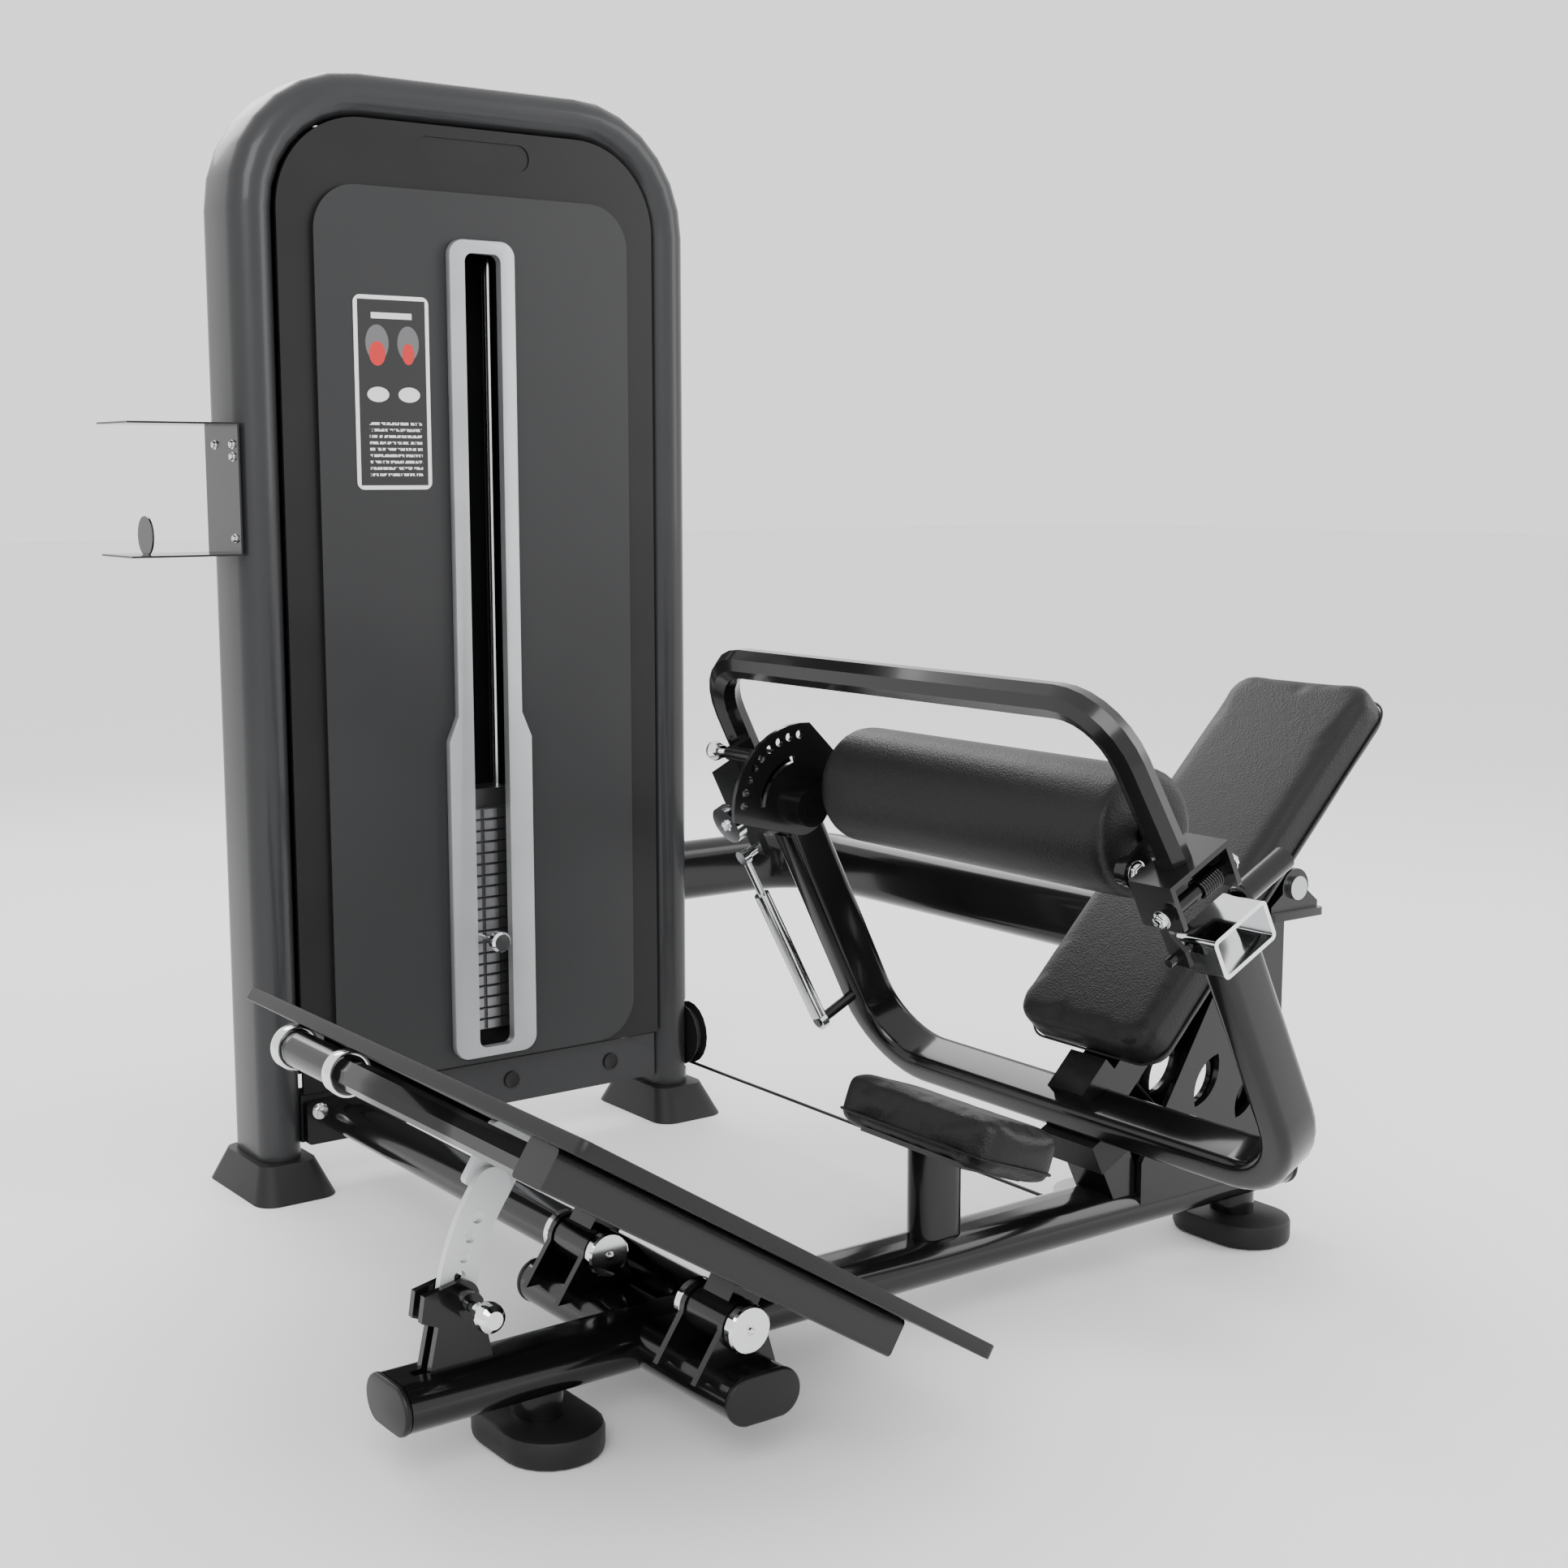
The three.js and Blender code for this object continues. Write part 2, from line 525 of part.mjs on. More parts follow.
function platformHandle() {
  const z = 52;
  const near = -338;
  const far = -382;
  const tube = sweep(new THREE.Shape(circle(0, 0, 16).getPoints(4)), [
    v3(near, -RAIL_MID + RAIL_HALF + GAP, 0), v3(near, -70, 0), v3(far, 20, 0), v3(far, 226, 0),
  ], 60, 4, 5).translate(0, 0, z);
  const lug = block(far - 6, far + 6, 208, 218, z + 10, PLATE_BOTTOM - GAP);
  const collar = (y) => rod(v3(far, y, z), v3(far, y + 14, z), 21.5, 20);
  const sleeve = rod(v3(far, 98, z), v3(far, 206, z), 19, 20);
  piece('platform_handle', join(tube, lug, collar(84), collar(206), sleeve), BLACK_PAINT, platform);
}

// Light curved plate with the adjuster holes, centred on the hinge, and its bracket under the plate.
function adjusterArc() {
  const half = 21;
  const start = Math.PI - (PIN_ANGLE - rad(1) - PLATE_SLOPE);
  const end = Math.PI - (rad(36) - PLATE_SLOPE);
  const at = (angle) => [ARC_RADIUS * Math.cos(angle), ARC_RADIUS * Math.sin(angle)];
  const shape = new THREE.Shape();
  shape.absarc(0, 0, ARC_RADIUS + half, start, end, true);
  shape.absarc(...at(end), half, end, end - Math.PI, true);
  shape.absarc(0, 0, ARC_RADIUS - half, end, start, false);
  shape.absarc(...at(start), half, start + Math.PI, start, true);
  for (let i = 0; i < 5; i++) {
    shape.holes.push(circle(...at(Math.PI - (PIN_ANGLE + i * ARC_STEP - PLATE_SLOPE)), 6.5));
  }
  const bracket = plateXZ(roundedRect(-258, -204, 6, PLATE_BOTTOM - GAP, 6), 3.9, 14, 3);
  piece('adjuster_arc', join(plateXZ(shape, -4, 4, 6), bracket), LIGHT_PAINT, platform);
}

const PIN_X = HINGE_X - ARC_RADIUS * Math.cos(PIN_ANGLE);
const PIN_Z = HINGE_Z + ARC_RADIUS * Math.sin(PIN_ANGLE);
const PIN_HOUSING = -34;

// Two cheeks on the base tube, tied by two spacers, with the housing of the spring pin.
function arcClevis() {
  const cheek = new THREE.Shape();
  cheek.moveTo(PIN_X - 36, BASE_TOP + GAP);
  cheek.lineTo(PIN_X + 34, BASE_TOP + GAP);
  cheek.lineTo(PIN_X + 20, PIN_Z);
  cheek.absarc(PIN_X, PIN_Z, 20, 0, Math.PI / 2, false);
  cheek.lineTo(PIN_X - 40, PIN_Z + 12);
  cheek.lineTo(PIN_X - 44, PIN_Z - 14);
  cheek.lineTo(PIN_X - 26, PIN_Z - 22);
  const along = (x, z, from, to, r) => rod(v3(x, benchY(from), z), v3(x, benchY(to), z), r, 16);
  const body = join(plateXZ(cheek, benchY(-14), benchY(-6), 5), plateXZ(cheek, benchY(6), benchY(14), 5),
    along(PIN_X - 34, PIN_Z - 10, -12, 12, 5), along(PIN_X + 28, BASE_TOP + 6.5, -12, 12, 4.5),
    along(PIN_X, PIN_Z, -10, PIN_HOUSING, 14));
  piece('arc_clevis', cut(body, along(PIN_X, PIN_Z, 20, -60, 5.6)), BLACK_PAINT);
  const knob = [[0, 0], [4.2, 0], [5, 2], [5, 44], [9, 44], [9, 52], [14, 57], [15.5, 64], [14, 71], [9, 75.4], [0, 75.4]];
  piece('platform_pin', turned(knob, v3(PIN_X, benchY(-4.6), PIN_Z), v3(PIN_X, benchY(-60), PIN_Z), 20), CHROME);
}

// ---------------------------------------------------------------- seat
const SEAT_SLOPE = rad(20.2);
const seatFrame = new THREE.Group();
seatFrame.position.set(450, BENCH_Y, 203);
seatFrame.rotation.y = SEAT_SLOPE;
layout.add(seatFrame);

function seat() {
  piece('seat_pad', plateXY(roundedRect(-60, 60, -136, 136, 24), 0, 56, 5, 10), LEATHER, seatFrame);
  const toSeat = (geometry) => geometry.rotateY(SEAT_SLOPE).translate(450, BENCH_Y, 203);
  const plate = toSeat(block(-46, 46, -90, 90, -6 - GAP, -GAP));
  const post = plateXY(oval(68, 44), BASE_TOP + GAP, 240, 5).translate(442, BENCH_Y, 0);
  const above = toSeat(block(-150, 150, -60, 60, -3, 160));
  piece('seat_post', join(cut(post, above), plate), BLACK_PAINT);
}

// ---------------------------------------------------------------- rear structure
const GUSSET_IN = 34;
const GUSSET_OUT = 42;
const GUSSET_END = 986;
const GUSSET_TOP = ARM_PIVOT_Z - 38;

// Almond window: two arcs that meet in points, its long axis leaning from the ground.
function almond(x, z, length, width, lean) {
  const r = (length * length + width * width) / (4 * width);
  const half = Math.asin(length / (2 * r));
  const away = v2(-Math.sin(lean), Math.cos(lean)).multiplyScalar(r - width / 2);
  const path = new THREE.Path();
  path.absarc(x + away.x, z + away.y, r, lean - Math.PI / 2 - half, lean - Math.PI / 2 + half, false);
  path.absarc(x - away.x, z - away.y, r, lean + Math.PI / 2 - half, lean + Math.PI / 2 + half, false);
  return path;
}

function gusset(name, side) {
  const outline = polygon([[738, 90], [GUSSET_END, 90], [GUSSET_END, GUSSET_TOP], [916, GUSSET_TOP], [738, 142]]);
  outline.holes.push(almond(850, 228, 74, 34, rad(57)));
  outline.holes.push(almond(902, 320, 74, 34, rad(57)));
  outline.holes.push(almond(922, 196, 62, 30, rad(57)));
  outline.holes.push(circle(BASE_PULLEY.x, 150, 9));
  const plate = plateXZ(outline, ...span(side, GUSSET_IN, GUSSET_OUT), 5);
  piece(`gusset_${name}`, cut(plate, baseSolid(700, 1100, 2 * GAP)), BLACK_PAINT);
}

function rearPost() {
  const post = plateXY(oval(62, 44), BASE_TOP + GAP, GUSSET_TOP + 2, 5).translate(966, BENCH_Y, 0);
  const shelf = plateXY(roundedRect(905, 1005, benchY(-90), benchY(90), 8), GUSSET_TOP + GAP, GUSSET_TOP + 10, 3);
  const armSpace = block(890, 950, benchY(-32), benchY(32), GUSSET_TOP - 20, GUSSET_TOP + 20);
  piece('rear_post', cut(join(post, shelf), armSpace), BLACK_PAINT);
}

function bearingBlock(name, side) {
  const bottom = GUSSET_TOP + 10 + GAP;
  const body = new THREE.Shape();
  body.moveTo(ARM_PIVOT_X - 44, bottom);
  body.lineTo(ARM_PIVOT_X + 42, bottom);
  body.lineTo(ARM_PIVOT_X + 42, bottom + 7);
  body.lineTo(ARM_PIVOT_X + 23, ARM_PIVOT_Z - 6);
  body.absarc(ARM_PIVOT_X, ARM_PIVOT_Z, 24, 0, Math.PI, false);
  body.lineTo(ARM_PIVOT_X - 23, ARM_PIVOT_Z - 6);
  body.lineTo(ARM_PIVOT_X - 44, bottom + 7);
  body.holes.push(circle(ARM_PIVOT_X, ARM_PIVOT_Z, 15.4));
  piece(`bearing_block_${name}`, plateXZ(body, ...span(side, 52, 80), 7), BLACK_PAINT);
}

// Flat-oval tube from the tower's right leg, round a square bend, to the far gusset.
function brace() {
  const height = 364;
  const runX = 962;
  const path = [v3(TOWER_WIDTH + GAP, 0, 0), v3(runX, 0, 0), v3(runX, benchY(GUSSET_OUT + GAP), 0)];
  piece('brace_tube', sweep(oval(92, 50), path, 110, 9, 5).translate(0, 0, height), BLACK_PAINT);
}

// ---------------------------------------------------------------- swing arm
const arm = new THREE.Group();
arm.position.set(YOKE_X, BENCH_Y, YOKE_Z);
arm.rotation.y = -YOKE_LEAN;
layout.add(arm);
const toArm = (geometry) => geometry.rotateY(-YOKE_LEAN).translate(YOKE_X, BENCH_Y, YOKE_Z);
const NEAR_TOP = 276;
const FAR_TOP = 330;
const YOKE_LOW = YOKE_BAR - 20;
const GAS_FOOT = v3(-72, YOKE_FAR - 8, 80);
const GAS_HEAD = v3(-72, YOKE_FAR + 6, 332);

// The machine's frame holds a rubber stop square under the yoke's bottom bar.
function restStop() {
  const top = YOKE_LOW - 0.5;
  const bottom = top - 40;
  piece('stop_pad', block(YOKE_OFFSET - 38, YOKE_OFFSET + 30, -46, 46, bottom, top), RUBBER, restFrame);
  const post = toArm(block(YOKE_OFFSET - 26, YOKE_OFFSET + 22, -32, 32, -165, bottom - GAP));
  piece('stop_post', cut(post, baseSolid(600, 850, 2 * GAP)), BLACK_PAINT);
}
const restFrame = new THREE.Group();
restFrame.position.copy(arm.position);
restFrame.rotation.copy(arm.rotation);
layout.add(restFrame);

function yoke() {
  const points = [v3(-NEAR_TOP, -YOKE_NEAR, 0), v3(-YOKE_BAR, -YOKE_NEAR, 0),
    v3(-YOKE_BAR, YOKE_FAR, 0), v3(-FAR_TOP, YOKE_FAR, 0)];
  const tube = sweep(roundedRect(-31, 31, -20, 20, 13), points, 92, 9, 3)
    .rotateY(Math.PI / 2).translate(YOKE_OFFSET, 0, 0);
  const lug = rod(v3(GAS_FOOT.x - 7, GAS_FOOT.y, GAS_FOOT.z), v3(YOKE_OFFSET, GAS_FOOT.y, GAS_FOOT.z), 7, 16);
  const bossFoot = block(-14, 40, YOKE_FAR - 19, YOKE_FAR + 19, FAR_TOP - 2, GATE_Z - 8);
  const boss = rod(v3(-14, GATE_Y, GATE_Z), v3(38, GATE_Y, GATE_Z), 24, 24);
  const bore = rod(v3(-90, GATE_Y, GATE_Z), v3(90, GATE_Y, GATE_Z), 12.4, 20);
  piece('yoke_tube', cut(join(tube, lug, bossFoot, boss), bore), BLACK_PAINT, arm);
}

const PAD_SLOPE = rad(44.9);
const PAD_CENTRE = v3(880, BENCH_Y, 495);
const PAD_UNDER = -28;
const padFrame = new THREE.Group();
padFrame.position.copy(PAD_CENTRE);
padFrame.rotation.y = -PAD_SLOPE;
layout.add(padFrame);
const toPad = (geometry) => geometry.rotateY(-PAD_SLOPE).translate(PAD_CENTRE.x, PAD_CENTRE.y, PAD_CENTRE.z);
const hubRod = (half, radius) =>
  rod(v3(ARM_PIVOT_X, benchY(-half), ARM_PIVOT_Z), v3(ARM_PIVOT_X, benchY(half), ARM_PIVOT_Z), radius, 24);

// Tube from the yoke's bar up to the hub, under the back pad and parallel to it.
function armTube() {
  const top = PAD_UNDER - 8 - GAP;
  const tube = toPad(block(-350, 105, -30, 30, top - 44, top));
  const heel = toPad(block(-345, -290, -30, 30, top - 20, PAD_UNDER + 12));
  const yokeBar = toArm(plateXZ(roundedRect(-31 - GAP, 31 + GAP, -20 - GAP, 20 + GAP, 13), -60, 60, 3)
    .translate(YOKE_OFFSET, 0, YOKE_BAR));
  const below = toArm(block(-120, 200, -60, 60, -200, YOKE_LOW));
  const before = toArm(block(-120, YOKE_OFFSET, -60, 60, -90, YOKE_BAR + 20 + GAP));
  piece('arm_tube', cut(join(tube, heel), hubRod(80, 24 + GAP), yokeBar, below, before), BLACK_PAINT);
  piece('arm_shaft', join(hubRod(50, 24), hubRod(86, 15)), STEEL);
}

function backPad() {
  const half = 290;
  piece('back_pad', plateXY(roundedRect(-half, half, -116, 116, 34), PAD_UNDER, 30, 5, 11), LEATHER, padFrame);
  piece('back_pad_plate', block(40 - half, half - 50, -80, 80, PAD_UNDER - 8, PAD_UNDER - GAP), BLACK_PAINT, padFrame);
}

// ---------------------------------------------------------------- latch on the near leg
const LATCH_Z = 311;
const LATCH_RIGHT = 56;
const LATCH_MOUTH = -YOKE_NEAR - 30;
const LATCH_BACK = -YOKE_NEAR + 22;

// A short rectangular tube across the leg's top, its mouth towards the side.
function latchBox() {
  const outer = plateXZ(roundedRect(-28, LATCH_RIGHT, NEAR_TOP + GAP, NEAR_TOP + 48, 7), LATCH_MOUTH, LATCH_BACK, 3);
  const hollow = plateXZ(roundedRect(-23, LATCH_RIGHT - 5, NEAR_TOP + 5, NEAR_TOP + 43, 3), LATCH_MOUTH - 9, LATCH_BACK + 9, 2);
  const shaftHole = rod(v3(-60, -YOKE_HALF, LATCH_Z), v3(120, -YOKE_HALF, LATCH_Z), 5.6, 16);
  piece('latch_box', cut(outer, hollow, shaftHole), CHROME, arm);
}

function latchLever() {
  const y = -YOKE_HALF;
  const hook = polygon([[y - 12, LATCH_Z - 13], [y + 12, LATCH_Z - 13], [y + 14, HOOK_SHAFT_Z - 20], [y + 12, HOOK_SHAFT_Z + 19],
    [y - 6.5, HOOK_SHAFT_Z + 19], [y - 6.5, HOOK_SHAFT_Z + 9], [y + 1, HOOK_SHAFT_Z + 8], [y + 1, LATCH_Z + 22], [y - 12, LATCH_Z + 6]]);
  const shaft = rod(v3(-58, y, LATCH_Z), v3(LATCH_RIGHT + 8, y, LATCH_Z), 5, 16);
  const collar = rod(v3(LATCH_RIGHT + 2, y, LATCH_Z + 2), v3(LATCH_RIGHT + 8, y, LATCH_Z + 2), 15, 20);
  const grip = rod(v3(LATCH_RIGHT + 7, y, LATCH_Z + 5), v3(LATCH_RIGHT + 80, y, LATCH_Z + 5), 13, 20);
  piece('latch_lever', join(plateYZ(hook, -43, -37, 2), shaft, collar, grip), BLACK_PAINT, arm);
}

// ---------------------------------------------------------------- hip gate
const HANDLE_RADIUS = 19;
const HANDLE_TOP = 582;
const CLEVIS_TOP = 404;
const CLEVIS_LOW = 350;
const CLEVIS_RIGHT = 40;
const HOOK_SHAFT_Z = 369;
const SECTOR_X = -13;
const SECTOR_Z = 383;
const SECTOR_PIN_RADIUS = 90;
const SECTOR_PIN_ANGLE = rad(108);
const SECTOR_STEP = rad(10.2);
const SECTOR_PIN_X = SECTOR_X + SECTOR_PIN_RADIUS * Math.cos(SECTOR_PIN_ANGLE);
const SECTOR_PIN_Z = SECTOR_Z + SECTOR_PIN_RADIUS * Math.sin(SECTOR_PIN_ANGLE);
const ROLLER_X = 40;
const ROLLER_Z = 393;
const acrossGate = (x, z, from, to, r) => rod(v3(x, from, z), v3(x, to, z), r, 20);

function hingePinOfGate() {
  const at = (x) => v3(x, GATE_Y, GATE_Z);
  const cap = turned([[0, 0], [23, 0], [25, 2], [25, 14], [0, 14]], at(-66), at(-80), 24);
  piece('gate_hinge_pin', join(cap, rod(at(-67), at(48), 12, 20), rod(at(46), at(54), 20, 20)), CHROME, arm);
}

// Bent tube over the roller, welded to the block that turns on the far hinge.
function gateHandle() {
  const tube = sweep(new THREE.Shape(circle(0, 0, HANDLE_RADIUS).getPoints(4)), [
    v3(-430, GATE_Y + 3, 0), v3(-HANDLE_TOP, GATE_Y + 3, 0),
    v3(-HANDLE_TOP, -YOKE_HALF + 20, 0), v3(-CLEVIS_TOP + 5, -YOKE_HALF, 0),
  ], 75, 7, 5).rotateY(Math.PI / 2).translate(-8, 0, 0);
  const body = join(tube,
    block(-50, -17, GATE_Y - 46, GATE_Y + 34, GATE_Z - 26, GATE_Z + 56),
    block(-50, 16, GATE_Y - 46, GATE_Y + 34, GATE_Z + 25, GATE_Z + 56),
    block(-50, 10, GATE_Y - 56, GATE_Y - 44, GATE_Z - 22, GATE_Z + 56),
    block(-50, -40, GAS_HEAD.y - 12, GAS_HEAD.y + 12, GAS_HEAD.z - 10, GATE_Z - 20),
    acrossGate(SECTOR_X, SECTOR_Z, 264, GATE_Y - 50, 10),
    block(SECTOR_PIN_X, -12, 340, 352, SECTOR_PIN_Z - 7, SECTOR_PIN_Z + 7),
    acrossGate(SECTOR_PIN_X, SECTOR_PIN_Z, 300, 352, 9));
  const bore = rod(v3(-90, GATE_Y, GATE_Z), v3(90, GATE_Y, GATE_Z), 12.4, 20);
  const pinBore = acrossGate(SECTOR_PIN_X, SECTOR_PIN_Z, 290, 353, 4.6);
  const clevisSpace = block(-60, 60, -420, -297, CLEVIS_TOP - 60, CLEVIS_TOP + GAP);
  piece('gate_handle', cut(body, bore, pinBore, clevisSpace), BLACK_PAINT, arm);
}

// Bracket at the gate's near end, with the shaft that the latch hook holds down.
function gateClevis() {
  const y0 = -YOKE_HALF - 33;
  const y1 = -YOKE_HALF + 24;
  const side = (x0, x1) => plateYZ(roundedRect(y0, y1, CLEVIS_LOW, CLEVIS_TOP, 4), x0, x1, 2);
  const body = join(block(-52, CLEVIS_RIGHT, y0, y1, CLEVIS_TOP - 6, CLEVIS_TOP),
    side(-52, -46), side(CLEVIS_RIGHT - 6, CLEVIS_RIGHT),
    block(-33, CLEVIS_RIGHT - 2, y1 - 6, y1, CLEVIS_LOW, CLEVIS_TOP - 2),
    rod(v3(-60, -YOKE_HALF - 16, HOOK_SHAFT_Z), v3(CLEVIS_RIGHT + 8, -YOKE_HALF - 16, HOOK_SHAFT_Z), 8, 16),
    acrossGate(SECTOR_X, SECTOR_Z, y1 - 3, -266, 8));
  piece('gate_clevis', body, BLACK_PAINT, arm);
}

// Perforated sector and cranks that carry the roller's shaft off the gate's bearings.
function rollerSector() {
  const rim = SECTOR_PIN_RADIUS + 14;
  const shape = new THREE.Shape();
  shape.absarc(SECTOR_X, SECTOR_Z, rim, rad(58), rad(160), false);
  shape.absarc(SECTOR_X, SECTOR_Z, 36, rad(225), rad(285), false);
  shape.absarc(ROLLER_X, ROLLER_Z, 28, rad(-80), rad(30), false);
  for (let i = -4; i < 5; i++) {
    const a = SECTOR_PIN_ANGLE + i * SECTOR_STEP;
    const reach = SECTOR_PIN_RADIUS;
    shape.holes.push(circle(SECTOR_X + reach * Math.cos(a), SECTOR_Z + reach * Math.sin(a), 5.2));
  }
  const arcSlot = new THREE.Path();
  arcSlot.absarc(SECTOR_X, SECTOR_Z, 66, rad(75), rad(150), false);
  arcSlot.absarc(SECTOR_X, SECTOR_Z, 58, rad(150), rad(75), true);
  shape.holes.push(arcSlot);
  const crank = new THREE.Shape();
  crank.absarc(SECTOR_X, SECTOR_Z, 18, rad(90), rad(280), false);
  crank.absarc(ROLLER_X, ROLLER_Z, 18, rad(-80), rad(100), false);
  const body = join(plateXZ(shape, 285, 291, 6), plateXZ(crank, -283, -277, 5),
    acrossGate(SECTOR_X, SECTOR_Z, 264, 286, 24), acrossGate(SECTOR_X, SECTOR_Z, -278, -266, 16),
    acrossGate(ROLLER_X, ROLLER_Z, -279, 287, 10));
  piece('roller_sector', cut(body, acrossGate(SECTOR_X, SECTOR_Z, 250, 300, 10.4),
    acrossGate(SECTOR_X, SECTOR_Z, -300, -250, 8.4)), BLACK_PAINT, arm);
}

function roller() {
  const r = 71;
  const near = -259;
  const far = 224;
  const outline = [[10.5, near], [r - 8, near], [r - 2, near + 4], [r, near + 12], [r, far - 12], [r - 2, far - 4],
    [r - 8, far], [10.5, far], [10.5, near]];
  piece('roller_pad', turned(outline, v3(ROLLER_X, 0, ROLLER_Z), v3(ROLLER_X, 1, ROLLER_Z), 32), LEATHER, arm);
}

function sectorPin() {
  const knob = [[0, 0], [3, 0], [4, 2], [4, 74], [8, 74], [8, 80], [11, 84], [13, 90], [11, 96], [7, 100], [0, 100]];
  piece('sector_pin', turned(knob, v3(SECTOR_PIN_X, 292, SECTOR_PIN_Z), v3(SECTOR_PIN_X, 400, SECTOR_PIN_Z), 20),
    CHROME, arm);
}

function gasSpring() {
  const up = GAS_HEAD.clone().sub(GAS_FOOT).normalize();
  const at = (from, distance) => from.clone().addScaledVector(up, distance);
  const eye = (centre, r) => rod(v3(centre.x - 5, centre.y, centre.z), v3(centre.x + 5, centre.y, centre.z), r, 20);
  const body = join(rod(at(GAS_FOOT, 8), at(GAS_FOOT, 196), 10, 20), eye(GAS_FOOT, 12));
  piece('gas_cylinder', cut(body, rod(at(GAS_FOOT, 24), at(GAS_FOOT, 210), 5.4, 16), eye(GAS_FOOT, 7.3)), CHROME, arm);
  const stub = rod(GAS_HEAD, v3(-50 - GAP, GAS_HEAD.y, GAS_HEAD.z), 6, 16);
  piece('gas_rod', join(rod(at(GAS_FOOT, 30), at(GAS_HEAD, -6), 5, 16), eye(GAS_HEAD, 10), stub), CHROME, arm);
}

// ---------------------------------------------------------------- assembly
towerFrame();
towerBars();
towerShoe('shoe_left', TUBE_FACE / 2);
towerShoe('shoe_right', TOWER_WIDTH - TUBE_FACE / 2);
towerCovers();
slotBezel();
bottleHolder();
weightStack();
pulleys();
cable();
baseTube();
for (const [name, side] of SIDES) {
  crossMember(name, side);
  hingePin(name, side);
  gusset(name, side);
  bearingBlock(name, side);
}
foot('foot_front', FRONT_POST_X);
foot('foot_rear', REAR_FOOT_X);
longTube();
footPlate();
platformCrossbar();
platformHandle();
adjusterArc();
arcClevis();
seat();
rearPost();
brace();
restStop();
yoke();
armTube();
backPad();
latchBox();
latchLever();
hingePinOfGate();
gateHandle();
gateClevis();
rollerSector();
roller();
sectorPin();
gasSpring();

export default machine;
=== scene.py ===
import json
import math
from math import radians

import bmesh
import bpy
from mathutils import Matrix, Vector

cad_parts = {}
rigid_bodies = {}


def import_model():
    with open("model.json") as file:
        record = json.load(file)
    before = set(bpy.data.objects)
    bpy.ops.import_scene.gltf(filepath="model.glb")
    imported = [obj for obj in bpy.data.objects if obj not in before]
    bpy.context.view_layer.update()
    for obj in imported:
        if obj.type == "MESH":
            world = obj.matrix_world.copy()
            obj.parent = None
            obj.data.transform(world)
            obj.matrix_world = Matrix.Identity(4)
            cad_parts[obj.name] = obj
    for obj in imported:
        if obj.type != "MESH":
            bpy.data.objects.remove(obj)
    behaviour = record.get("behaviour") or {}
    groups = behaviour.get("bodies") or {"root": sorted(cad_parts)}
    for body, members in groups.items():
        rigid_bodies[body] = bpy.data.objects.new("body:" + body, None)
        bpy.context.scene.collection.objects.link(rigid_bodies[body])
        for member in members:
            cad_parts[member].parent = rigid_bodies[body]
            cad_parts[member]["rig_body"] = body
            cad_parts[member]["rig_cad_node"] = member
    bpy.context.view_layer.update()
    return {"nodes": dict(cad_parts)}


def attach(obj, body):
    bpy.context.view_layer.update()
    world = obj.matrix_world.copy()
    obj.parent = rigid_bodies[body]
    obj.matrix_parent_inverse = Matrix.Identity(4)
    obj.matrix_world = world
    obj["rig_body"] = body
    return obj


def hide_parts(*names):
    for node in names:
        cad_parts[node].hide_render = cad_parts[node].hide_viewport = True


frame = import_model()
nodes = frame["nodes"]


# ---------------------------------------------------------------- painted tower
# The tower's flat-oval tube and its bottom bar: bent steel tube in dark grey powder coat,
# welded to the bar. The coat has a fine orange peel and a slight change of gloss.
def named_nodes(surface):
    return surface.node_tree.nodes, surface.node_tree.links


def coat(name, colour, second, rough, metal=0.0, grain=900.0, bump=0.05, coat_weight=0.0, spread=0.12):
    """A finish with large soft patches, a fine grain in gloss and bump, and two close colours."""
    surface = bpy.data.materials.new(name)
    surface.use_nodes = True
    made, links = named_nodes(surface)
    shader = made["Principled BSDF"]
    shader.inputs["Metallic"].default_value = metal
    shader.inputs["Coat Weight"].default_value = coat_weight
    shader.inputs["Coat Roughness"].default_value = 0.08
    shader.inputs["Specular IOR Level"].default_value = 0.28
    place = made.new("ShaderNodeTexCoord")
    patches = made.new("ShaderNodeTexNoise")
    patches.inputs["Scale"].default_value = 9.0
    patches.inputs["Detail"].default_value = 4.0
    fine = made.new("ShaderNodeTexNoise")
    fine.inputs["Scale"].default_value = grain
    fine.inputs["Detail"].default_value = 2.0
    tint = made.new("ShaderNodeMix")
    tint.data_type = "RGBA"
    tint.inputs["A"].default_value = (*colour, 1)
    tint.inputs["B"].default_value = (*second, 1)
    gloss = made.new("ShaderNodeMapRange")
    gloss.inputs["To Min"].default_value = max(0.02, rough - spread / 2)
    gloss.inputs["To Max"].default_value = rough + spread / 2
    relief = made.new("ShaderNodeBump")
    relief.inputs["Strength"].default_value = bump
    relief.inputs["Distance"].default_value = 0.0004
    links.new(place.outputs["Object"], patches.inputs["Vector"])
    links.new(place.outputs["Object"], fine.inputs["Vector"])
    links.new(patches.outputs["Fac"], tint.inputs["Factor"])
    links.new(tint.outputs["Result"], shader.inputs["Base Color"])
    links.new(patches.outputs["Fac"], gloss.inputs["Value"])
    links.new(gloss.outputs["Result"], shader.inputs["Roughness"])
    links.new(fine.outputs["Fac"], relief.inputs["Height"])
    links.new(relief.outputs["Normal"], shader.inputs["Normal"])
    return surface


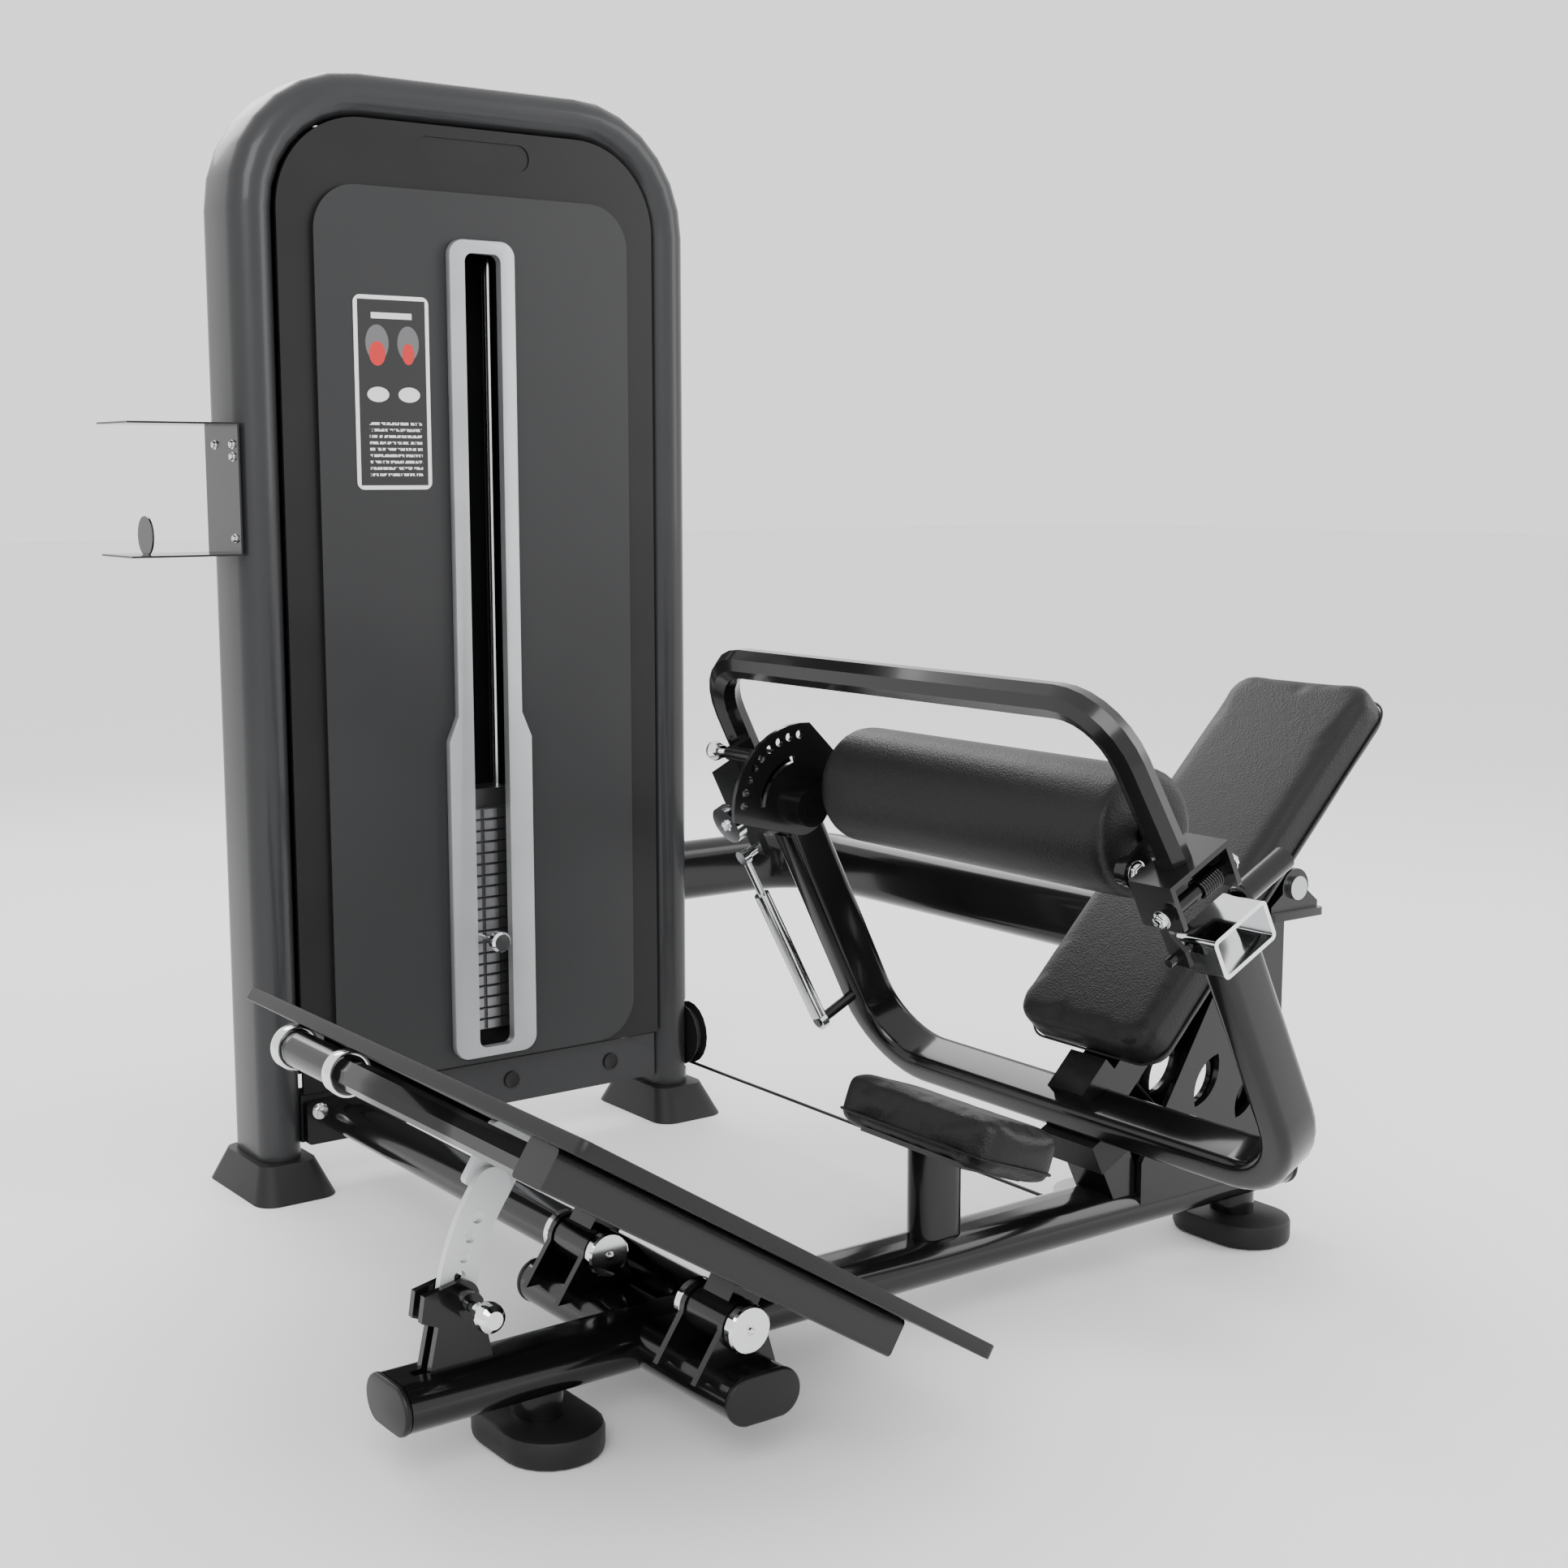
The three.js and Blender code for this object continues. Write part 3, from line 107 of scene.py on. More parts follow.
def dress(surface, slot, *names):
    """Stands a merged copy, smooth round its bends, in for each solid, in its own finish."""
    for name in names:
        solid = nodes[name]
        copy = solid.copy()
        copy.data = solid.data.copy()
        copy.parent = None
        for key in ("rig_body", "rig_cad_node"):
            del copy[key]
        bpy.context.scene.collection.objects.link(copy)
        shell = bmesh.new()
        shell.from_mesh(copy.data)
        bmesh.ops.remove_doubles(shell, verts=shell.verts, dist=0.00002)
        shell.to_mesh(copy.data)
        shell.free()
        copy.data.materials.clear()
        copy.data.materials.append(surface)
        bpy.ops.object.select_all(action="DESELECT")
        copy.select_set(True)
        bpy.context.view_layer.objects.active = copy
        bpy.ops.mesh.customdata_custom_splitnormals_clear()
        bpy.ops.object.shade_smooth_by_angle(angle=radians(32))
        copy.name = f"{name}_finished"
        copy.data.name = copy.name
        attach(copy, solid["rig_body"])
        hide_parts(name)


grey_paint = coat("grey powder coat", (0.026, 0.0265, 0.028), (0.034, 0.0345, 0.036), 0.36, 0.3,
                  coat_weight=0.15)
dress(grey_paint, "grey_paint", "tower_frame", "tower_bottom_bar")

# Dark plastic plugs in the bottom bar: pressed caps over the bar's bolts, with a thin rim.
# Each plug is a short turned disc with an inset face, pushed into the bar's front.
MM = 0.001
MIDDLE = Vector((418.465, -610.5, 0.0))
black_plastic = coat("black moulded plastic", (0.005, 0.005, 0.0055), (0.009, 0.009, 0.0095), 0.38,
                     grain=1500.0, bump=0.08)


def at(x, y, z):
    """A point of the layout, in millimetres from the tower's left outer face, in metres here."""
    return (Vector((x, y, z)) - MIDDLE) * MM


def clear_selection():
    if bpy.context.object and bpy.context.object.mode != "OBJECT":
        bpy.ops.object.mode_set(mode="OBJECT")
    bpy.ops.object.select_all(action="DESELECT")


def settle(name, surface, body, angle=35):
    """Names the active piece, puts its place in its mesh, smooths it and lets it ride."""
    made = bpy.context.object
    bpy.ops.object.transform_apply(location=True, rotation=True, scale=True)
    bpy.ops.object.shade_smooth_by_angle(angle=radians(angle))
    made.name = name
    made.data.name = name
    made.data.materials.clear()
    made.data.materials.append(surface)
    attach(made, body)
    return made


def aim_rotation(direction):
    return Vector(direction).to_track_quat("Z", "Y").to_euler()


def soft_edges(made, width, segments=2):
    """Rounds the sharp edges of a piece with an applied bevel."""
    soften = made.modifiers.new("soft edge", "BEVEL")
    soften.width = width
    soften.segments = segments
    soften.limit_method = "ANGLE"
    bpy.ops.object.modifier_apply(modifier=soften.name)


def turned_disc(name, centre, direction, radius, depth, surface, body, inset=0.0, sink=0.0):
    """A short cylinder with softened edges; its front face can be inset and pushed in or out."""
    clear_selection()
    bpy.ops.mesh.primitive_cylinder_add(vertices=32, radius=radius, depth=depth)
    bpy.ops.object.mode_set(mode="EDIT")
    if inset:
        bpy.ops.mesh.select_all(action="DESELECT")
        mesh = bmesh.from_edit_mesh(bpy.context.object.data)
        for face in mesh.faces:
            face.select = face.normal.z > 0.9
        bpy.ops.mesh.inset(thickness=inset, depth=0)
        bpy.ops.mesh.extrude_region_move(TRANSFORM_OT_translate={"value": (0, 0, -sink)})
    bpy.ops.object.mode_set(mode="OBJECT")
    made = bpy.context.object
    soft_edges(made, 0.0006)
    made.rotation_euler = aim_rotation(direction)
    made.location = Vector(centre) + Vector(direction).normalized() * depth / 2
    return settle(name, surface, body)


for index, x in enumerate((180, 390, 560)):
    turned_disc(f"bar_plug_{index}", at(x, -44, 96), (0, -1, 0), 0.0125, 0.003, black_plastic,
                "machine_frame", inset=0.0025, sink=0.0008)


# ---------------------------------------------------------------- tower covers
# Front and rear covers: moulded sheet in two dark greys, clipped inside the tower's tube.
# The front one has a raised field; both are satin with a faint leather-like grain.
FIELD_FRONT = 0.5495
panel_grey = coat("satin panel grey", (0.0085, 0.0085, 0.009), (0.012, 0.012, 0.0125), 0.34, 0.1,
                  grain=1400.0, bump=0.06)
panel_made, panel_links = named_nodes(panel_grey)
panel_place = panel_made.new("ShaderNodeTexCoord")
panel_split = panel_made.new("ShaderNodeSeparateXYZ")
panel_front = panel_made.new("ShaderNodeMath")
panel_front.operation = "LESS_THAN"
panel_front.inputs[1].default_value = FIELD_FRONT
panel_tint = panel_made.new("ShaderNodeMix")
panel_tint.data_type = "RGBA"
panel_tint.inputs["B"].default_value = (0.027, 0.0275, 0.0285, 1)
panel_shader = panel_made["Principled BSDF"]
panel_base = panel_shader.inputs["Base Color"].links[0].from_socket
panel_links.new(panel_place.outputs["Object"], panel_split.inputs["Vector"])
panel_links.new(panel_split.outputs["Y"], panel_front.inputs[0])
panel_links.new(panel_front.outputs[0], panel_tint.inputs["Factor"])
panel_links.new(panel_base, panel_tint.inputs["A"])
panel_links.new(panel_tint.outputs["Result"], panel_shader.inputs["Base Color"])
dress(panel_grey, "panel_grey", "front_cover", "rear_cover")

# Silver bezel round the slot: painted metal frame with a sparkle, screwed over the field.
# It is one moulding.
silver_paint = coat("silver fleck paint", (0.34, 0.35, 0.36), (0.46, 0.47, 0.48), 0.42, 0.75,
                    grain=2600.0, bump=0.2)
dress(silver_paint, "silver_paint", "slot_bezel")


# ---------------------------------------------------------------- placard
# Instruction placard: a thin black plate with a white rim, stuck to the field.
# Its print is plain generic shapes and bars, with no lettering.
def flat_plate(width, height, thick, corner):
    """A thin plate with round corners, standing in the xz plane and facing the front."""
    clear_selection()
    bpy.ops.mesh.primitive_cube_add(size=1)
    made = bpy.context.object
    made.scale = (width, thick, height)
    bpy.ops.object.transform_apply(location=True, rotation=True, scale=True)
    bpy.ops.object.mode_set(mode="EDIT")
    mesh = bmesh.from_edit_mesh(made.data)
    bpy.ops.mesh.select_all(action="DESELECT")
    for edge in mesh.edges:
        a, b = edge.verts
        edge.select = abs(a.co.y - b.co.y) > thick / 2
    bmesh.update_edit_mesh(made.data)
    bpy.ops.mesh.bevel(offset=corner, segments=6)
    bpy.ops.object.mode_set(mode="OBJECT")
    return made


def printed(name):
    """White rim, dark field, two red shapes, a pair of pale figures and rows of pale bars."""
    surface = bpy.data.materials.new(name)
    surface.use_nodes = True
    made, links = named_nodes(surface)
    shader = made["Principled BSDF"]
    shader.inputs["Roughness"].default_value = 0.3
    place = made.new("ShaderNodeTexCoord")
    split = made.new("ShaderNodeSeparateXYZ")
    links.new(place.outputs["Object"], split.inputs["Vector"])

    def calc(kind, a, b):
        node = made.new("ShaderNodeMath")
        node.operation = kind
        for socket, value in zip(node.inputs, (a, b)):
            if isinstance(value, (int, float)):
                socket.default_value = value
            else:
                links.new(value, socket)
        return node.outputs[0]

    def between(value, low, high):
        return calc("MULTIPLY", calc("GREATER_THAN", value, low), calc("LESS_THAN", value, high))

    centre = at(216.5, 0, 1081.5)
    x = calc("SUBTRACT", split.outputs["X"], centre.x)
    z = calc("SUBTRACT", split.outputs["Z"], centre.z)
    inside = calc("MULTIPLY", between(x, -0.050, 0.050), between(z, -0.123, 0.123))
    rows = calc("LESS_THAN", calc("FRACT", calc("MULTIPLY", z, 1 / 0.0085), 0), 0.42)
    ragged = made.new("ShaderNodeTexNoise")
    ragged.inputs["Scale"].default_value = 260.0
    stretch = made.new("ShaderNodeMapping")
    stretch.inputs["Scale"].default_value = (1, 0.0, 0.45)
    links.new(place.outputs["Object"], stretch.inputs["Vector"])
    links.new(stretch.outputs["Vector"], ragged.inputs["Vector"])
    words = calc("GREATER_THAN", ragged.outputs["Fac"], 0.46)
    block = calc("MULTIPLY", between(x, -0.036, 0.042), between(z, -0.112, -0.035))
    bars = calc("MULTIPLY", calc("MULTIPLY", rows, words), block)
    title = calc("MULTIPLY", between(x, -0.030, 0.030), between(z, 0.098, 0.106))

    def blob(cx, cz, rx, rz):
        dx = calc("DIVIDE", calc("SUBTRACT", x, cx), rx)
        dz = calc("DIVIDE", calc("SUBTRACT", z, cz), rz)
        return calc("LESS_THAN", calc("ADD", calc("MULTIPLY", dx, dx), calc("MULTIPLY", dz, dz)), 1.0)

    red = calc("MAXIMUM", blob(-0.022, 0.052, 0.012, 0.016), blob(0.024, 0.052, 0.009, 0.014))
    body = calc("MAXIMUM", blob(-0.022, 0.066, 0.017, 0.024), blob(0.024, 0.066, 0.016, 0.023))
    figure = calc("MAXIMUM", blob(-0.022, -0.002, 0.016, 0.010), blob(0.024, -0.002, 0.016, 0.010))
    pale = calc("MAXIMUM", calc("MAXIMUM", bars, title), figure)
    dark = made.new("ShaderNodeMix")
    dark.data_type = "RGBA"
    dark.inputs["A"].default_value = (0.010, 0.010, 0.011, 1)
    dark.inputs["B"].default_value = (0.12, 0.12, 0.125, 1)
    links.new(body, dark.inputs["Factor"])
    tint = made.new("ShaderNodeMix")
    tint.data_type = "RGBA"
    tint.inputs["B"].default_value = (0.55, 0.012, 0.012, 1)
    links.new(dark.outputs["Result"], tint.inputs["A"])
    links.new(red, tint.inputs["Factor"])
    ink = made.new("ShaderNodeMix")
    ink.data_type = "RGBA"
    ink.inputs["B"].default_value = (0.7, 0.7, 0.7, 1)
    links.new(tint.outputs["Result"], ink.inputs["A"])
    links.new(pale, ink.inputs["Factor"])
    rim = made.new("ShaderNodeMix")
    rim.data_type = "RGBA"
    rim.inputs["A"].default_value = (0.75, 0.75, 0.75, 1)
    links.new(ink.outputs["Result"], rim.inputs["B"])
    links.new(inside, rim.inputs["Factor"])
    links.new(rim.outputs["Result"], shader.inputs["Base Color"])
    return surface


placard = flat_plate(0.111, 0.257, 0.0012, 0.010)
placard.location = at(216.5, -62.8, 1081.5)
settle("placard", printed("placard print"), "machine_frame")


# ---------------------------------------------------------------- weight stack
# Weight plates and guide rods: machined steel plates, painted dark, on chrome rods.
# The selector knob is chrome on a steel stem, pushed into the chosen plate.
plate_steel = coat("dark machined steel", (0.10, 0.10, 0.105), (0.16, 0.16, 0.165), 0.36, 0.85,
                   grain=700.0, bump=0.12)
dress(plate_steel, "steel", "weight_plates_lower", "weight_plates_upper")
chrome = coat("polished chrome", (0.72, 0.73, 0.74), (0.80, 0.81, 0.82), 0.09, 1.0,
              grain=300.0, bump=0.01, spread=0.06)
dress(chrome, "chrome", "guide_rods", "selector_pin")

# Plate number nibs: one small bright block with sloped faces, cast on each plate's front
# beside the pin hole. They show as a column in the slot.
PLATE_PITCH = 16.2
STACK_LOW = 177.0
LOWER_PLATES = 8
UPPER_PLATES = 12
nib_steel = coat("bright nib steel", (0.30, 0.30, 0.31), (0.42, 0.42, 0.43), 0.3, 0.9,
                 grain=500.0, bump=0.1)
clear_selection()
bpy.ops.mesh.primitive_cube_add(size=1)
first_nib = bpy.context.object
first_nib.scale = (0.021, 0.004, 0.0125)
bpy.ops.object.transform_apply(location=False, rotation=False, scale=True)
bpy.ops.object.mode_set(mode="EDIT")
bpy.ops.mesh.select_all(action="DESELECT")
for face in bmesh.from_edit_mesh(first_nib.data).faces:
    face.select = face.normal.y < -0.9
bpy.ops.mesh.inset(thickness=0.004, depth=0.0022)
bpy.ops.object.mode_set(mode="OBJECT")


def nib_column(name, first, count, body):
    """Copies the nib for each plate of a run and joins them as one piece."""
    clear_selection()
    copies = []
    for index in range(first, first + count):
        for side in (-1, 1):
            copy = first_nib.copy()
            copy.data = first_nib.data.copy()
            bpy.context.scene.collection.objects.link(copy)
            copy.location = at(350 + side * 13.5, -41.6, STACK_LOW + (index + 0.5) * PLATE_PITCH)
            copies.append(copy)
    for copy in copies:
        copy.select_set(True)
    bpy.context.view_layer.objects.active = copies[0]
    bpy.ops.object.join()
    return settle(name, nib_steel, body)


nib_column("plate_nibs_lower", 0, LOWER_PLATES, "machine_frame")
nib_column("plate_nibs_upper", LOWER_PLATES, UPPER_PLATES, "weight_stack")
bpy.data.objects.remove(first_nib)


# ---------------------------------------------------------------- rubber
# Tower shoes, bench feet, stop and stack buffer: moulded black rubber, matt and slightly
# dusty, pushed over or screwed under the steel.
rubber = coat("black rubber", (0.006, 0.006, 0.0065), (0.011, 0.011, 0.0115), 0.5, grain=1100.0, bump=0.18)
dress(rubber, "rubber", "shoe_left", "shoe_right", "foot_front", "foot_rear", "stop_pad", "stack_buffer")

# ---------------------------------------------------------------- black steel
# Bench, platform, arm, gate and brackets: welded steel in gloss black powder coat with a
# clear top coat that gives long soft highlights.
black_paint = coat("gloss black coat", (0.0035, 0.0035, 0.0037), (0.0055, 0.0055, 0.0058), 0.18,
                   grain=800.0, bump=0.03, coat_weight=0.25, spread=0.06)
dress(black_paint, "black_paint", "bottle_holder", "base_tube", "cross_member_near", "cross_member_far",
      "gusset_near", "gusset_far", "bearing_block_near", "bearing_block_far", "long_tube",
      "platform_rail_near", "platform_rail_far", "platform_crossbar", "platform_handle", "arc_clevis",
      "seat_post", "rear_post", "brace_tube", "stop_post", "yoke_tube", "arm_tube", "back_pad_plate",
      "latch_lever", "gate_handle", "gate_clevis", "roller_sector")

# Foot plate: folded steel sheet in satin black with a fine grip texture on its top.
# It is bolted to the two rails.
grip_paint = coat("grip black coat", (0.008, 0.008, 0.0085), (0.012, 0.012, 0.0125), 0.4, 0.1,
                  grain=420.0, bump=0.35)
dress(grip_paint, "black_paint", "foot_plate")

# Bright fittings: chromed pins, latch box, gas spring, and the pale adjuster plate.
# The steel arm shaft is left brushed.
dress(chrome, "chrome", "hinge_pin_near", "hinge_pin_far", "platform_pin", "latch_box", "gate_hinge_pin",
      "sector_pin", "gas_cylinder", "gas_rod")
pale_paint = coat("pale grey coat", (0.58, 0.59, 0.60), (0.66, 0.67, 0.68), 0.36, 0.2, bump=0.05)
dress(pale_paint, "light_paint", "adjuster_arc")
shaft_steel = coat("brushed shaft steel", (0.40, 0.41, 0.42), (0.52, 0.53, 0.54), 0.28, 1.0,
                   grain=500.0, bump=0.08)
dress(shaft_steel, "steel", "arm_shaft")
dress(black_plastic, "plastic", "pulley_stack", "pulley_corner", "pulley_leg", "pulley_bench",
      "pulley_base", "cable")


# ---------------------------------------------------------------- fasteners
# Hexagon bolts with washers: chromed steel, screwed through the brackets. One bolt is made
# and copied to every place, each with its own mesh.
def first_fastener():
    clear_selection()
    bpy.ops.mesh.primitive_cylinder_add(vertices=24, radius=0.0115, depth=0.0018, location=(0, 0, 0.0009))
    washer = bpy.context.object
    clear_selection()
    bpy.ops.mesh.primitive_cylinder_add(vertices=6, radius=0.0085, depth=0.0065, location=(0, 0, 0.0050))
    head = bpy.context.object
    bpy.ops.object.mode_set(mode="EDIT")
    bpy.ops.mesh.select_all(action="DESELECT")
    for face in bmesh.from_edit_mesh(head.data).faces:
        face.select = face.normal.z > 0.9
    bpy.ops.mesh.inset(thickness=0.0022, depth=0)
    bpy.ops.mesh.extrude_region_move(TRANSFORM_OT_translate={"value": (0, 0, 0.0012)})
    bpy.ops.object.mode_set(mode="OBJECT")
    clear_selection()
    washer.select_set(True)
    head.select_set(True)
    bpy.context.view_layer.objects.active = washer
    bpy.ops.object.join()
    soft_edges(washer, 0.0005)
    return washer


bolt = first_fastener()


def place_bolt(name, point, direction, body, size=1.0):
    clear_selection()
    copy = bolt.copy()
    copy.data = bolt.data.copy()
    bpy.context.scene.collection.objects.link(copy)
    copy.rotation_euler = aim_rotation(direction)
    copy.scale = (size, size, size)
    copy.location = point
    copy.select_set(True)
    bpy.context.view_layer.objects.active = copy
    return settle(name, chrome, body)


BENCH_Y = -931
for index, (x, z) in enumerate(((80, 108), (132, 76))):
    place_bolt(f"bracket_bolt_{index}", at(x, -62, z), (0, -1, 0), "machine_frame")
for index, (y, z) in enumerate(((-38, 1012), (-38, 996), (20, 1012), (-38, 890))):
    place_bolt(f"holder_bolt_{index}", at(-3.2, y, z), (-1, 0, 0), "machine_frame", 0.55)

# ---------------------------------------------------------------- base end caps
# Moulded plastic caps in the ends of the base tube and its cross tubes: a flat oval with
# a rounded rim, pushed in.
CAP_ACROSS = 0.088
CAP_TALL = 0.051
CAP_LIFT = 0.0042
TUBE_MIDDLE = 81.5


def end_cap(name, centre, direction):
    clear_selection()
    bpy.ops.mesh.primitive_cylinder_add(vertices=40, radius=CAP_TALL / 2, depth=0.008)
    made = bpy.context.object
    for vertex in made.data.vertices:
        if abs(vertex.co.x) > 1e-6:
            vertex.co.x += math.copysign((CAP_ACROSS - CAP_TALL) / 2, vertex.co.x)
    soft_edges(made, 0.003, 3)
    along = Vector(direction)
    sideways = Vector((0, 0, 1)).cross(along)
    turn = Matrix((sideways, (0, 0, 1), along)).transposed().to_4x4()
    made.matrix_world = Matrix.Translation(Vector(centre) + along * CAP_LIFT) @ turn
    return settle(name, black_plastic, "machine_frame")


end_cap("base_cap_front", at(-246, BENCH_Y, TUBE_MIDDLE), (-1, 0, 0))
end_cap("base_cap_rear", at(1020, BENCH_Y, TUBE_MIDDLE), (1, 0, 0))
end_cap("cross_cap_near", at(51, BENCH_Y - 197, TUBE_MIDDLE), (0, -1, 0))
end_cap("cross_cap_far", at(51, BENCH_Y + 197, TUBE_MIDDLE), (0, 1, 0))

# ---------------------------------------------------------------- platform grip rings
# Chrome rings at both ends of the platform handle's grip: short turned collars pressed on
# the handle's tube.
SLOPE = radians(32.5)
HINGE_X = 52
HINGE_Z = 141


def on_platform(x, y, z):
    """A point given along, across and above the platform's slope, from its hinge."""
    along = x * math.cos(SLOPE) + z * math.sin(SLOPE)
    above = z * math.cos(SLOPE) - x * math.sin(SLOPE)
    return at(HINGE_X + along, BENCH_Y + y, HINGE_Z + above)


def grip_ring(name, centre, radius=0.0235, hole=0.0190, depth=0.016):
    """A collar: a cylinder whose two ends are inset and bridged through."""
    clear_selection()
    bpy.ops.mesh.primitive_cylinder_add(vertices=40, radius=radius, depth=depth)
    bpy.ops.object.mode_set(mode="EDIT")
    bpy.ops.mesh.select_all(action="DESELECT")
    made = bpy.context.object
    for face in bmesh.from_edit_mesh(made.data).faces:
        face.select = abs(face.normal.z) > 0.9
    bpy.ops.mesh.inset(thickness=radius - hole, depth=0)
    bpy.ops.mesh.bridge_edge_loops()
    bpy.ops.mesh.select_all(action="SELECT")
    bpy.ops.mesh.normals_make_consistent(inside=False)
    bpy.ops.object.mode_set(mode="OBJECT")
    soft_edges(made, 0.001)
    made.rotation_euler = aim_rotation((0, 1, 0))
    made.location = centre
    return settle(name, chrome, "foot_platform")


for index, y in enumerate((91, 213)):
    grip_ring(f"grip_ring_{index}", on_platform(-382, y, 52))

# ---------------------------------------------------------------- hinge pin caps
# A small centre screw in each chromed cap of the platform's hinge pins. It is the same
# bolt at under half size, screwed into the pin's end.
for index, y in enumerate((-179, -80, 80, 179)):
    side = -1 if y in (-179, 80) else 1
    place_bolt(f"hinge_screw_{index}", at(HINGE_X, BENCH_Y + y, HINGE_Z), (0, side, 0),
               "machine_frame", 0.45)

# ---------------------------------------------------------------- bench pulley guard
# Round pale guard over the bench's flat pulley: a pressed disc with a raised middle, let
# into the side of the base tube.
turned_disc("pulley_guard", at(745, BENCH_Y + 43.5, 82.5), (0, 0, 1), 0.052, 0.003, pale_paint,
            "machine_frame", inset=0.006, sink=-0.0015)


# ---------------------------------------------------------------- pads
# Seat, back pad and hip roller: foam on board under black vinyl leather, stapled below.
# Each is blown up gently as cloth from the space that holds it and held to a small swell; the seat and
# back pad get a welt further on.
def leather(name):
    """Close pebbles over broad soft creases, in two near blacks."""
    surface = coat(name, (0.0045, 0.0045, 0.005), (0.0075, 0.0075, 0.008), 0.44,
                   grain=0.0, bump=0.0, spread=0.1)
    made, links = named_nodes(surface)
    place = made.new("ShaderNodeTexCoord")
    pebble = made.new("ShaderNodeTexVoronoi")
    pebble.inputs["Scale"].default_value = 420.0
    creases = made.new("ShaderNodeTexNoise")
    creases.inputs["Scale"].default_value = 60.0
    creases.inputs["Detail"].default_value = 6.0
    height = made.new("ShaderNodeMath")
    height.operation = "ADD"
    relief = made.new("ShaderNodeBump")
    relief.inputs["Strength"].default_value = 0.35
    relief.inputs["Distance"].default_value = 0.0009
    links.new(place.outputs["Object"], pebble.inputs["Vector"])
    links.new(place.outputs["Object"], creases.inputs["Vector"])
    links.new(pebble.outputs["Distance"], height.inputs[0])
    links.new(creases.outputs["Fac"], height.inputs[1])
    links.new(height.outputs[0], relief.inputs["Height"])
    links.new(relief.outputs["Normal"], made["Principled BSDF"].inputs["Normal"])
    return surface


vinyl = leather("black vinyl leather")
PAD_PRESSURE = 4.0
SWELL_STEPS = 20


def cushion(name, node, voxel, most, body, shrink):
    """A pad made from its solid: remeshed, blown up as cloth, held to a small swell, subdivided."""
    clear_selection()
    made = nodes[node].copy()
    made.data = nodes[node].data.copy()
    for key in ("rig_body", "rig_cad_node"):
        if key in made:
            del made[key]
    made.parent = None
    bpy.context.scene.collection.objects.link(made)
    made.select_set(True)
    bpy.context.view_layer.objects.active = made
    middle = sum((v.co for v in made.data.vertices), Vector()) / len(made.data.vertices)
    for vertex in made.data.vertices:
        vertex.co = middle + (vertex.co - middle) * shrink
    bpy.ops.object.mode_set(mode="EDIT")
    bpy.ops.mesh.select_all(action="SELECT")
    bpy.ops.mesh.remove_doubles(threshold=0.00001)
    bpy.ops.object.mode_set(mode="OBJECT")
    remesh = made.modifiers.new("even skin", "REMESH")
    remesh.mode = "VOXEL"
    remesh.voxel_size = voxel
    bpy.ops.object.modifier_apply(modifier=remesh.name)
    rest = [v.co.copy() for v in made.data.vertices]
    cloth = made.modifiers.new("skin", "CLOTH")
    cloth.settings.use_pressure = True
    cloth.settings.uniform_pressure_force = PAD_PRESSURE
    cloth.settings.quality = 5
    cloth.settings.effector_weights.gravity = 0.0
    cloth.point_cache.frame_start = 1
    cloth.point_cache.frame_end = SWELL_STEPS
    for step in range(1, SWELL_STEPS + 1):
        bpy.context.scene.frame_set(step)
    seen = made.evaluated_get(bpy.context.evaluated_depsgraph_get())
    moved = [v.co.copy() for v in seen.data.vertices]
    made.modifiers.remove(cloth)
    bpy.context.scene.frame_set(1)
    for vertex, old, new in zip(made.data.vertices, rest, moved):
        shift = new - old
        if shift.length > most:
            shift = shift.normalized() * most
        vertex.co = old + shift
    smooth = made.modifiers.new("relaxed", "SMOOTH")
    smooth.iterations = 3
    bpy.ops.object.modifier_apply(modifier=smooth.name)
    finer = made.modifiers.new("finer", "SUBSURF")
    finer.levels = 1
    finer.render_levels = 1
    bpy.ops.object.modifier_apply(modifier=finer.name)
    settle(name, vinyl, body, 180)
    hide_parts(node)
    return made


cushion("seat_cushion", "seat_pad", 0.005, 0.004, "machine_frame", 0.985)
cushion("back_cushion", "back_pad", 0.0055, 0.004, "swing_arm", 0.99)
cushion("roller_cushion", "roller_pad", 0.0055, 0.003, "roller", 0.99)


# ---------------------------------------------------------------- piping
# Welt along the back pad and the seat: a thin vinyl-covered cord sewn where the face meets
# the side. It is a rounded rectangle of tube that lies on the pad's edge.
def welt(name, half_long, half_wide, corner, height, place, body):
    clear_selection()
    bpy.ops.mesh.primitive_plane_add(size=1)
    made = bpy.context.object
    made.scale = (2 * half_long, 2 * half_wide, 1)
    bpy.ops.object.transform_apply(location=False, rotation=False, scale=True)
    bpy.ops.object.mode_set(mode="EDIT")
    bpy.ops.mesh.select_all(action="SELECT")
    bpy.ops.mesh.bevel(offset=corner, segments=8, affect="VERTICES")
    bpy.ops.mesh.delete(type="ONLY_FACE")
    bpy.ops.object.mode_set(mode="OBJECT")
    bpy.ops.object.convert(target="CURVE")
    made = bpy.context.object
    made.data.bevel_depth = 0.0016
    made.data.bevel_resolution = 2
    bpy.ops.object.convert(target="MESH")
    made = bpy.context.object
    made.matrix_world = place @ Matrix.Translation((0, 0, height))
    return settle(name, vinyl, body, 180)


PAD_PLACE = Matrix.Translation(at(880, BENCH_Y, 495)) @ Matrix.Rotation(radians(-44.9), 4, "Y")
SEAT_PLACE = Matrix.Translation(at(450, BENCH_Y, 203)) @ Matrix.Rotation(radians(20.2), 4, "Y")
welt("back_welt", 0.2865, 0.1125, 0.034, -0.012, PAD_PLACE, "swing_arm")
welt("seat_welt", 0.0585, 0.1345, 0.024, 0.012, SEAT_PLACE, "machine_frame")

